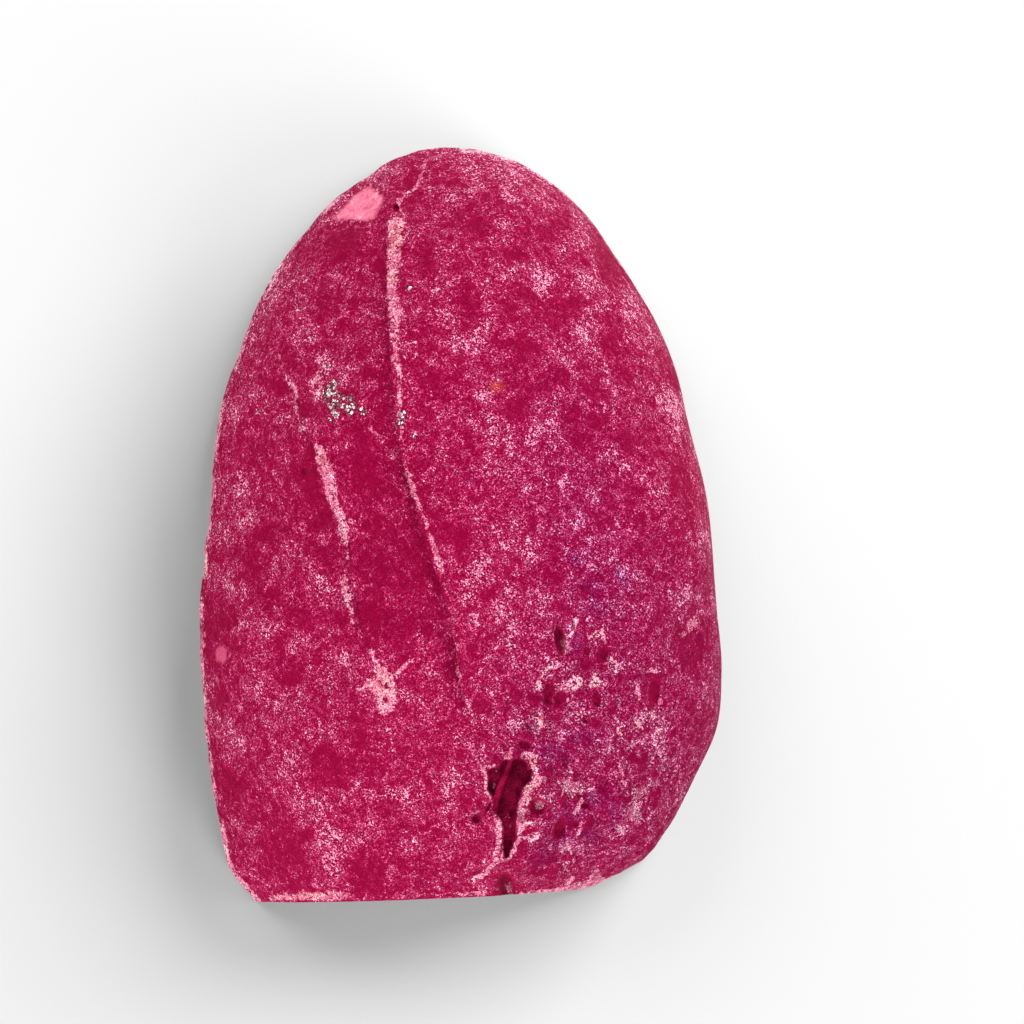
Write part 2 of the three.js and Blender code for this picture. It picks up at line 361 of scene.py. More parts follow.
# %% The cavity and the pits
CAVITY_MOUTH = [
    (4.4, -40), (5, -39.5), (6.2, -39.3), (6.7, -38.4), (7.4, -38.1), (8.2, -38.2), (9.5, -37.95),
    (10.4, -38.3), (10.8, -39), (10.9, -39.7), (11.6, -39.7), (11.4, -41.2), (10.8, -42),
    (10, -42.7), (9.8, -43.8), (9.2, -45.5), (8.9, -47), (9, -49.5), (8.6, -50.8), (8.4, -51.8),
    (8, -52.7), (7.7, -53.7), (7.2, -54), (6.9, -53), (6.85, -51.5), (6.95, -49.5), (6.6, -48),
    (6, -47.2), (5.2, -46.6), (5, -46), (5.3, -45), (5, -43.6), (4.4, -43.2), (4.4, -42), (4.6, -41),
]
CAVITY_RIDGE = [(8.1, -38.3), (7.2, -41), (6.4, -42.5), (5.6, -45), (5.2, -46.7)]
# The right part is a channel that gets shallower at its low end; the left part is a shelf.
# Each part has a depth and an amount of painted shade, which is less at the channel's shallow low end.
CHANNEL = {"depth": 3.6, "painted_shade": 0.95, "low_end_rise": 1.5, "low_end_less_shade": 0.15}
SHELF = {"depth": 2.4, "painted_shade": 0.95}
RIDGE = {"depth": 0.9, "painted_shade": 0.55}
# Pits: x, y, half width, half length, turn in degrees, depth.
PITS = [
    (2.7, -47.5, 0.85, 1.1, -6, 1.2),
    (4.5, -45.9, 0.35, 1.1, -30, 0.8),
    (15.9, -19.1, 0.95, 2.8, 8, 1.5),
    (14.2, -27.4, 0.9, 2.6, -8, 1.1),
    (12.2, -28.5, 0.9, 0.9, 0, 0.7),
    (15.9, -28.4, 0.9, 1.3, 0, 0.7),
    (31, -27.2, 1.1, 2.6, -6, 0.8),
    (23, -21.2, 0.9, 1.5, -25, 0.8),
    (20.3, -20.8, 0.7, 0.9, 0, 0.6),
    (19.8, -23.1, 0.7, 0.7, 0, 0.5),
    (21.8, -28.6, 0.85, 1.5, 5, 0.8),
    (24, -25.3, 0.4, 0.7, 0, 0.5),
    (20.2, -31.7, 0.7, 0.8, 0, 0.8),
    (-24.7, 8, 0.7, 0.9, 0, 0.8),
    (7.5, -58.6, 1.5, 2.8, 10, 2.4),
    (12.5, -45.7, 1.7, 1.5, 35, 1.3),
    (15.9, -49.2, 1.1, 2.2, -20, 1.3),
    (18.4, -48.5, 0.8, 0.6, 20, 0.6),
    (20, -45.6, 0.8, 0.5, 0, 0.8),
    (10.3, -35.9, 1.3, 0.8, -15, 0.9),
    (-10.2, 50, 0.6, 0.7, 0, 1.2),
    (-12, -28.5, 0.5, 0.4, 0, 0.5),
]


def cavity(plan):
    """Depth of the large cavity, and the shade painted in it: a channel on the right, a ridge and a
    shelf.
    """
    inside = from_mouth(plan, CAVITY_MOUTH)
    from_ridge, side, share = from_route(plan, CAVITY_RIDGE)
    low_end = ramp(plan[:, 1], -43.5, -50)
    channel = CHANNEL["depth"] - CHANNEL["low_end_rise"] * low_end
    channel_painted_shade = CHANNEL["painted_shade"] - CHANNEL["low_end_less_shade"] * low_end
    on_ridge = ramp(from_ridge - 0.3 * share, 0.6, 0.25) * ramp(plan[:, 1], -48, -46.5)
    depth = np.where(side > 0, channel, SHELF["depth"]) * (1 - on_ridge) + RIDGE["depth"] * on_ridge
    painted_shade = np.where(side > 0, channel_painted_shade, SHELF["painted_shade"]) * (1 - on_ridge) + RIDGE["painted_shade"] * on_ridge
    wall = ramp(inside, -0.25, 0.45)
    return wall * depth, ramp(inside, -0.1, 0.3) * painted_shade


print("pits:", len(PITS))

# %% Noise for fine lumps and ragged edges
# The vectors of noise.noise_vector come from a seed. With none set, they differ in every run.
NOISE_SEED = 1
noise.seed_set(NOISE_SEED)


def noise_at(points, size, seed):
    """Smooth noise about 0, with features of the given size in millimetres."""
    return np.array([noise.noise(Vector(point) / size + Vector((seed, 0, 0))) for point in points])


def nodules_at(points, size):
    """1 in the middle of rounded cells of a given size, 0 in the grooves between them."""
    gaps = []
    for point in points:
        distances, _ = noise.voronoi(Vector(point) / size)
        gaps.append(distances[1] - distances[0])
    return ramp(np.array(gaps), 0.05, 0.55)


def drift_at(points, size, seed):
    """Smooth sideways drift for ragged edges, as an x and a y for each point."""
    shift = Vector((0, seed, 0))
    return np.array([noise.noise_vector(Vector(point) / size + shift)[:2] for point in points])


# %% [markdown]
# ## Growing the fine stone
# The stone starts as a ball made of many small triangles. Around the cavity, the pits, the seams
# and the narrow strips of crust the triangles are split again, because steep walls and fine
# edges need them. Then every vertex is moved to its place on the rind.

# %% Strips of crust along the cracks
# Pale crust follows them: x, y, half width and strength at each turn of a strip.
CRUSTS = [
    [(-10.2, 47.5, 1.5, 1), (-10.5, 42.5, 1.2, 1), (-11, 37, 0.9, 0.8), (-10.3, 33, 1.3, 0.9),
     (-10.6, 29, 0.8, 0.5), (-10.3, 26, 0.7, 0.6), (-9.7, 24, 0.5, 0.7), (-9.7, 21, 0.5, 0.6),
     (-9.8, 18, 0.5, 0.5), (-9, 12, 0.3, 0.35), (-8.7, 9, 0.3, 0.4), (-8, 6.5, 0.5, 0.9),
     (-7.5, 4.5, 0.5, 0.9), (-6.8, 3.2, 0.4, 0.8), (-6.1, 1.5, 0.3, 0.5), (-5.5, 0, 0.4, 0.8),
     (-5.1, -1.5, 0.3, 0.5), (-4.5, -3.5, 0.5, 0.8), (-3.9, -5, 0.6, 0.7), (-3.2, -6.8, 0.5, 0.5),
     (-2.3, -10.6, 0.3, 0.4), (-1, -14, 0.3, 0.4), (-0.8, -18.5, 0.4, 0.45), (-0.5, -23, 0.4, 0.5),
     (0.3, -27, 0.3, 0.45), (1.9, -31, 0.4, 0.45), (2.2, -33.5, 0.3, 0.35)],
    [(-28.9, 26.2, 0.35, 0.7), (-28.6, 24.9, 0.3, 0.6)],
    [(-28.1, 23.7, 0.2, 0.9), (-27.4, 22.5, 0.4, 1), (-26.5, 21.2, 0.45, 1), (-26.2, 20, 0.3, 0.9),
     (-26.3, 18.8, 0.3, 0.7), (-26.3, 17.4, 0.4, 0.5)],
    [(-23, 12.1, 0.4, 0.9), (-22.5, 11.4, 0.8, 1), (-21.9, 9.5, 1.3, 0.7), (-21.2, 7.5, 1.4, 0.85),
     (-20.8, 5.5, 1.2, 0.9), (-20.5, 4, 1.1, 0.9), (-20, 2.5, 0.8, 1), (-19.3, 1, 0.7, 1),
     (-18.7, -0.3, 0.9, 0.9), (-18.8, -1.6, 1, 1), (-18.6, -3, 0.7, 0.8), (-18.3, -4, 0.3, 0.6)],
    [(-18.1, -5.2, 0.2, 0.7), (-18, -5.9, 0.35, 0.9)],
    [(-24.2, -7.6, 0.4, 0.4), (-22.5, -9.4, 0.3, 0.4), (-20.6, -11.4, 0.4, 0.4)],
    [(-18.8, -9, 0.7, 0.6), (-18.3, -11.5, 0.8, 0.6), (-17.4, -14.5, 0.5, 0.6), (-17, -17, 0.4, 0.5)],
    [(-14.2, -20.8, 0.3, 0.8), (-13.6, -22.4, 0.5, 0.9), (-12.8, -24.4, 0.9, 0.9)],
    [(-17.6, 0.1, 0.5, 0.8), (-16.7, 0, 0.3, 0.7)],
    [(-23.5, 22.2, 0.3, 0.8), (-22.3, 23.4, 0.4, 0.7), (-21.2, 25, 0.5, 0.6)],
    [(-22.5, 22, 0.5, 0.6), (-22.5, 20.4, 0.6, 0.7)],
    [(-18, 12.8, 0.15, 0.8), (-18, 11.7, 0.2, 0.8)],
    [(-14.6, 15, 0.3, 0.6), (-14, 14.5, 0.4, 0.6), (-12.5, 12.6, 0.3, 0.4)],
    [(-25.7, 14.7, 0.5, 0.5), (-24.6, 14.8, 0.4, 0.5)],
    [(-12.5, -24.8, 1.5, 1), (-12.2, -26.8, 2.2, 1.1), (-11.7, -28.6, 1.8, 1), (-12, -30, 1.4, 0.85)],
    [(-11.7, -33, 0.25, 0.5), (-11, -35.5, 0.25, 0.5), (-10.3, -37.2, 0.2, 0.4)],
    [(-16, -27, 0.4, 0.7), (-14.4, -26, 0.6, 0.9), (-12.8, -25.5, 0.9, 0.8), (-10, -24.2, 0.5, 0.9),
     (-8, -22.6, 0.4, 0.7)],
    [(-5.5, 57.5, 0.35, 0.8), (-6, 55.5, 0.35, 0.8), (-7, 53.5, 0.4, 0.8), (-8.5, 52, 0.4, 0.8),
     (-10, 51, 0.4, 0.7), (-9, 48.8, 0.3, 0.5)],
    [(3.4, -39.8, 0.6, 0.6), (4.6, -39.4, 0.5, 0.7), (5.9, -38.9, 0.3, 0.5)],
    [(4.1, -40.4, 0.35, 0.9), (4.2, -41.8, 0.4, 0.9), (4, -43.2, 0.4, 0.8), (4.8, -43.9, 0.25, 0.7),
     (5, -44.8, 0.2, 0.6)],
    [(7.3, -37.9, 0.4, 0.8), (8, -37.4, 0.7, 0.9), (8.3, -36.5, 0.4, 0.8)],
    [(10.4, -37.4, 0.6, 0.9), (11.4, -37.6, 0.8, 0.9), (11.9, -38.8, 0.8, 0.8), (12, -40.4, 0.5, 0.9),
     (12.3, -41.5, 0.8, 1), (11.2, -42.8, 0.9, 1), (10.7, -44, 0.8, 0.9), (10.1, -45.3, 0.7, 1),
     (9.8, -46.6, 0.65, 1), (9.7, -48.1, 0.6, 1), (9.7, -49.5, 0.6, 1), (9.5, -50.7, 0.5, 0.9),
     (9, -51.8, 0.5, 1), (8.7, -52.8, 0.5, 1), (8, -53.8, 0.3, 0.8), (7, -54.3, 0.25, 0.8)],
    [(12.6, -41.6, 0.5, 0.9), (13.6, -41.2, 0.4, 0.9)],
    [(10, -48.2, 0.4, 0.9), (11.6, -48.4, 0.5, 0.9)],
    [(9.8, -50.8, 0.3, 0.8), (10.9, -50.5, 0.3, 0.7), (11.6, -51.3, 0.35, 0.8), (12.6, -50.2, 0.3, 0.7)],
    [(5.7, -47.4, 0.3, 0.8), (6.1, -48.2, 0.5, 1), (6.25, -49.5, 0.6, 1), (6.2, -51, 0.6, 1),
     (5.9, -52.2, 0.4, 0.8), (5.6, -53.5, 0.4, 0.7), (5.9, -54.4, 0.5, 0.8), (4.8, -55.5, 0.4, 0.7),
     (4.1, -56.3, 0.3, 0.8), (3.2, -56.9, 0.4, 0.9), (2.2, -57.2, 0.4, 0.8), (2.1, -58.2, 0.3, 0.6)],
    [(6.7, -52, 0.2, 0.7), (6.7, -53.5, 0.2, 0.7), (6.5, -54.5, 0.3, 0.8)],
    [(14, -44.2, 0.25, 0.7), (14.5, -44.6, 0.3, 0.8)],
    [(18.5, -15.6, 0.35, 0.8), (18.6, -16.6, 0.4, 0.9), (17.9, -17.9, 0.35, 0.9),
     (17.2, -18.3, 0.25, 0.7)],
    [(16, -23, 0.3, 0.8), (14.8, -23.3, 0.4, 0.9), (13.4, -23.9, 0.35, 0.8), (13, -25, 0.3, 0.6),
     (12.5, -26.3, 0.6, 0.8)],
    [(15.3, -26.2, 0.22, 0.8), (17, -26.3, 0.3, 0.9), (18, -25.2, 0.5, 0.9), (19, -25.4, 0.5, 0.9),
     (19.2, -26.4, 0.4, 0.9), (17.9, -26.9, 0.45, 0.9), (15.5, -26.9, 0.22, 0.9)],
    [(21.6, -24.4, 0.4, 0.7), (21.8, -25.6, 0.7, 0.7), (20.8, -26.4, 0.3, 0.7)],
    [(21.8, -26, 0.6, 0.8), (22.9, -26, 0.3, 0.7)],
    [(23.1, -23.2, 0.3, 0.6), (24.1, -21.8, 0.3, 0.7), (25, -23.2, 0.4, 0.8), (25.1, -24.4, 0.35, 0.7)],
    [(20.5, -18.6, 0.4, 0.6), (21.6, -18.2, 0.5, 0.8), (22.7, -17.6, 0.4, 0.7), (23.1, -19.4, 0.25, 0.8)],
    [(28.5, -26.2, 0.35, 0.8), (28.5, -27.8, 0.35, 0.8), (28.7, -29.2, 0.3, 0.8)],
    [(29.9, -24.2, 0.3, 0.6), (30.6, -23.7, 0.4, 0.8), (31.6, -24.3, 0.25, 0.6)],
    [(32.2, -27.9, 0.3, 0.6), (32, -29, 0.35, 0.8)],
    [(30.3, -30.8, 0.5, 0.7), (31, -31.4, 0.5, 0.8)],
    [(28.4, -32, 0.5, 0.6), (28.8, -33, 0.4, 0.7)],
    [(31.8, -33.4, 0.4, 0.7), (32.3, -34.3, 0.5, 0.8)],
    [(25.4, -33, 0.3, 0.8), (25.6, -34.2, 0.4, 0.8)],
    [(12.8, -31, 0.6, 0.6), (13.2, -32.4, 0.6, 0.7), (12.6, -33.6, 0.5, 0.6)],
    [(18.7, -30.5, 0.25, 0.7), (19, -31.1, 0.25, 0.7)],
    [(17.2, -28.5, 0.35, 0.8), (17.7, -28.9, 0.3, 0.7)],
    [(17.3, -38.9, 0.25, 0.6), (17.8, -40.3, 0.4, 0.8), (18, -41, 0.3, 0.6)],
    [(20.6, -43.1, 0.3, 0.9), (21.5, -42.7, 0.2, 0.8)],
    [(19.4, -44.7, 0.25, 0.7), (19, -45.8, 0.25, 0.7), (18.3, -46.8, 0.25, 0.7)],
    [(19.3, -48, 0.25, 0.8), (19.2, -49.4, 0.3, 0.8), (18.6, -50.5, 0.25, 0.7)],
    [(25.5, -39, 0.25, 0.6), (26, -40.4, 0.25, 0.8), (26.1, -42, 0.25, 0.6)],
    [(17, -51.4, 0.3, 0.7), (17.4, -52.4, 0.35, 0.8), (17.9, -53.3, 0.25, 0.6)],
    [(18.6, -53.8, 0.2, 0.7), (18.1, -55.2, 0.2, 0.7)],
    [(19.6, -51.6, 0.2, 0.6), (19.6, -53.2, 0.25, 0.6)],
    [(16.4, -55, 0.35, 0.8), (16.8, -55.4, 0.3, 0.8)],
    [(16.9, -57.8, 0.6, 0.8), (17.8, -57.3, 0.5, 0.8)],
    [(21, -57.3, 0.6, 0.7), (22, -56.2, 0.5, 0.6)],
    [(12.2, -50.3, 0.3, 0.8), (12.6, -49.8, 0.3, 0.8)],
    [(35.6, -18.3, 0.7, 0.45), (37.7, -15.8, 0.8, 0.5)],
    [(-40.8, -5.5, 0.5, 1), (-41, -9, 0.5, 1)],
    [(-41.2, -18, 0.4, 0.8), (-41.3, -20, 0.4, 0.8)],
    [(-28.3, 43.8, 0.5, 0.9), (-27.2, 44.8, 0.5, 0.9)],
    [(-30, -60.2, 0.5, 0.6), (-24, -60, 0.8, 0.9), (-19, -60, 0.8, 0.9), (-17, -60, 0.3, 0.4),
     (-9, -59.9, 0.25, 0.3), (-1.5, -59.6, 0.3, 0.5), (3.8, -59.6, 0.5, 0.8)],
    [(9, -60, 0.5, 0.7), (16, -59, 0.7, 0.8), (23, -57.6, 0.6, 0.7)],
]
print("strips of crust:", len(CRUSTS))

# %% A ball without the part that the saw takes away
BALL_LEVEL = 8
KEPT_ABOVE = -0.45


def directions_of(form):
    """Unit vectors to the vertices of a ball."""
    places = np.array([vertex.co for vertex in form.verts])
    return places / np.linalg.norm(places, axis=1, keepdims=True)


def raised(points, facing, height):
    """Points moved along the way the smooth nodule faces, less so where it faces sideways."""
    return points + facing * (height * facing[:, 2])[:, None]


stone_form = bmesh.new()
bmesh.ops.create_icosphere(stone_form, subdivisions=BALL_LEVEL, radius=1.0)
bmesh.ops.bisect_plane(
    stone_form,
    geom=[*stone_form.verts, *stone_form.edges, *stone_form.faces],
    plane_co=(0, 0, KEPT_ABOVE),
    plane_no=(0, 0, -1),
    clear_outer=True,
)
print("ball:", len(stone_form.faces), "triangles")

# %% Split the triangles where the stone needs them small
NARROW_STRIP = 0.45


def near_strands(plan):
    """Whether a place is near a narrow strip of crust."""
    near = np.zeros(len(plan), bool)
    for turns in CRUSTS:
        if min(turn[2] for turn in turns) < NARROW_STRIP:
            near |= from_route(plan, [turn[:2] for turn in turns])[0] < 0.85
    return near


def near_walls(plan):
    """Whether a place is near the cavity, a pit or a seam."""
    near = np.abs(from_mouth(plan, CAVITY_MOUTH)) < 1.6
    for *oval, _ in PITS:
        near |= from_oval(plan, *oval) < 1.35
    for seam in (LONG_SEAM, SHORT_SEAM):
        near |= from_route(plan, seam["route"])[0] < 0.8
    return near


def near_cavity(plan):
    """Whether a place is near a wall or the ridge of the cavity."""
    mouth = from_mouth(plan, CAVITY_MOUTH)
    return (np.abs(mouth) < 0.7) | ((mouth > 0) & (from_route(plan, CAVITY_RIDGE)[0] < 1.0))


def split_where(form, near):
    """Splits the upper side's edges whose two ends are near a kind of place."""
    ball = directions_of(form)
    smooth_points, facing = smooth_nodule(ball)
    height = broad_relief(smooth_points, seen_plan(smooth_points))
    chosen = near(seen_plan(raised(smooth_points, facing, height))) & (ball[:, 2] > 0)
    form.verts.index_update()
    edges = [
        edge for edge in form.edges if chosen[edge.verts[0].index] and chosen[edge.verts[1].index]
    ]
    bmesh.ops.subdivide_edges(form, edges=edges, cuts=1, use_grid_fill=True)
    uneven = [face for face in form.faces if len(face.verts) > 3]
    bmesh.ops.triangulate(form, faces=uneven)
    return len(edges)


for near in (near_strands, near_walls, near_cavity):
    print("edges split:", split_where(stone_form, near))
print("split ball:", len(stone_form.faces), "triangles")

# %% Move every vertex to its place on the rind
KNOBBLY_SIDE = (21, -42, 20, 20)
# Fine lumps: their height, how much more of it on the knobbly side, their size and a seed.
FINE_LUMPS = [(0.45, 0, 5.0, 3.1), (0.3, 0.55, 2.2, 7.7), (0.12, 0.22, 1.0, 1.9)]
NODULE_SIZE = 2.3
NODULE_HEIGHT = 0.7

directions = directions_of(stone_form)
points, facing = smooth_nodule(directions)
plan = seen_plan(points)
knobbly = ramp(from_oval(plan, *KNOBBLY_SIDE), 1.2, 0.6)
height = broad_relief(points, plan)
for even, more, size, seed in FINE_LUMPS:
    height += (even + more * knobbly) * noise_at(points, size, seed)
nodules = np.full(len(points), 0.5)
uneven = knobbly > 0
drift = np.column_stack([0.7 * drift_at(points[uneven], 1.8, 5.3), np.zeros(uneven.sum())])
nodules[uneven] = nodules_at(points[uneven] + drift, NODULE_SIZE)
height += NODULE_HEIGHT * knobbly * (nodules - 0.5)
points = raised(points, facing, height)
plan = seen_plan(points)
print("crown, mm:", round(points[:, 2].max(), 2))

# %% Sink the cavity and the pits, and strike off the chip
# A smooth, flat chip at the upper left: a point of its plane, and the way the plane faces.
CHIP = {"at": (-15.95, 50.15, 6.8), "facing": (-0.56, 0.66, 0.5)}

# Shade is painted into the cavity and the pits: the deeper a pit, the darker its colour.
sink, painted_shade = cavity(plan)
for *oval, depth in PITS:
    hole = ramp(from_oval(plan, *oval), 1.1, 0.45)
    sink = np.maximum(sink, depth * hole)
    painted_shade = np.maximum(painted_shade, min(1, 0.4 + depth / 4) * hole)
points[:, 2] -= sink * (directions[:, 2] > 0)

chip_facing = np.array(Vector(CHIP["facing"]).normalized())
over = (points - CHIP["at"]) @ chip_facing
points -= np.maximum(over, 0)[:, None] * chip_facing

for vertex, place in zip(stone_form.verts, points):
    vertex.co = place
print("deepest, mm:", round(sink.max(), 2), "chipped off, mm:", round(over.max(), 2))

# %% [markdown]
# ## Painting the rind
# Frost, crust and dye don't follow one rule over the stone, so each vertex carries a few
# numbers that say how much of each there is, with painted shade in the hollows and a painted
# sheen along the rim. The materials read them and add the fine grain.
# Every place is given a ragged edge by letting the plan drift with noise before measuring.

# %% Frosted places
# Frost: x, y of tufts of pale crystals, grouped by the tuft's radius.
FROST = {
    1.2: [
        (-18, 12.2), (5.5, 21.9), (3.7, 22), (3.8, 20.5), (-9, 1.5), (-3.3, -6.5), (8, 0.5), (7.8, -19.2),
        (8.5, -17.3), (-0.6, -51.4), (-3.3, -52.2), (14.2, -44.3), (22, -18.5), (14.8, -23.2),
        (17.8, -23), (18.2, -25.8), (21.5, -25.5), (24.8, -23), (16, -1.2), (22.5, 10.3), (21.5, 8.2),
        (26.3, 9), (18, -16), (11, -48.3), (11.5, -51), (3.3, -13.3), (2, -16.3), (-8.5, -28.3),
        (-6.7, -29.2), (-3.5, -29.5), (18.4, -0.9), (20.9, -6.7), (-24, 39), (-20, 39.6), (-15, 40),
        (-36.3, -48.5), (-33, -50), (-37, -52), (-33, -54),
    ],
    1.8: [
        (2, 55.5), (2, 53.2), (-1, 52), (7.5, 54.5), (8.5, 52), (12, 51.3), (8, 47.5), (6.5, 45),
        (-2.3, 44.2), (-3, 38.3), (7, 38.5), (13, 39.2), (4, 36.5), (4, 33.5), (-1.2, 32.3), (19.5, 48.5),
        (19, 45), (16, 43), (20.5, 39.5), (19, 37.5), (23, 36), (27, 35.5), (22, 34), (28, 33), (14, 38),
        (-17, 28.6), (-24, 29.5), (-26, 29), (-22, 26), (-18, 24), (-22.5, 21), (-33, 20), (-37, 17.5),
        (-28, 16.5), (-24, 15.2), (-35.5, 5.5), (-1, 29.3), (1, 28), (3.5, 28), (4, 31), (-3.8, 25.7),
        (-7.5, 27.5), (12.5, 18), (6.5, 14.7), (4.5, 17), (12, 13), (4.5, 10.5), (-3, 10.8), (5, 8.5),
        (8.7, 7), (21, 31), (18.5, 30), (21, 28.5), (27.7, 29), (27.7, 26), (30.8, 27), (16, 26),
        (19, 19.3), (28.5, 17), (14.5, 15.5), (16.5, 11.5), (24, 11), (21.5, 4.5), (16.5, 5.5), (32, 4),
        (31, 8), (34, 13), (-34, 0), (-38.3, -2), (-38, -9), (-36, -11.5), (-35.3, -16.5), (-30.8, -17.5),
        (-29, -7), (-27, -4.3), (-31, -9.4), (-24, -7.3), (-22, -9.5), (-21, -12), (-25.5, -19.5),
        (-21, -18.3), (-19.8, -21.5), (-17.3, -23), (-22, -25.3), (-39.7, -26), (-38.5, -32),
        (-36.3, -34.5), (-36, -38), (-32.5, -27), (-28.3, -29.3), (-24.5, -29.5), (-30.8, -31.7),
        (-25, -33.5), (-27, -37.5), (-28, -40.5), (-26.7, -43.7), (-24.3, -44.8), (-21.5, -45),
        (-26, -47.5), (-18.8, -36), (-17, -43), (-14.8, -48), (-15.8, -51.3), (-10.5, -3.5), (-8.5, -2),
        (-11.5, -12.5), (-6, -19.7), (-5, -24.5), (1.2, -11.3), (2, -9.2), (6.1, -2.5), (8, -2.8),
        (11, -5), (7.5, -12), (5.8, -13.5), (12.5, -12.5), (14.5, -17.5), (12.5, -21.5), (4.5, -26),
        (13, -25), (8.5, -32.5), (0, -35.5), (3.2, -37), (-2, -42), (-2, -45), (-8.5, -43.8),
        (-11.5, -42.8), (-8, -51), (19, 0.8), (22, -3), (24, -2), (20.3, -5.2), (23.8, -7), (18, -8),
        (26.3, -8.3), (28.5, -9.2), (16.7, -10.8), (17.5, -12), (24.7, -13.5), (20.5, -14.3), (36, -12.5),
        (38.8, -3), (38, -12), (18.7, -30.7), (30.7, -31), (32, -33), (31.3, -35.5), (28.7, -36.3),
        (25.5, -33), (23.3, -37.5), (26, -40.5), (25.5, -49.5), (17, -52),
    ],
    2.8: [
        (-30.5, 36), (-29, 39), (-20.4, -33), (4, -7.5), (6.5, -21.5), (12.5, -32), (-21, -57),
        (-20, -53), (-22, -50), (33.6, 19),
    ],
}
# Frost in streaks: the ends of each, and its half width.
STREAKS = [
    ((-23.5, 22), (-21, 25.5), 0.9), ((22.5, 26.5), (24.3, 21), 0.9), ((24.3, 21), (25, 15), 0.8),
    ((33, 21), (34.5, 16.5), 1.3), ((4.8, -55.5), (2, -57), 0.9), ((10.7, -3.8), (11.7, -6.5), 0.9),
    ((5, -12.5), (6.7, -14.5), 0.8), ((-2, -41.5), (-2, -45.5), 0.9), ((18.5, -16.5), (17.7, -18), 0.5),
]
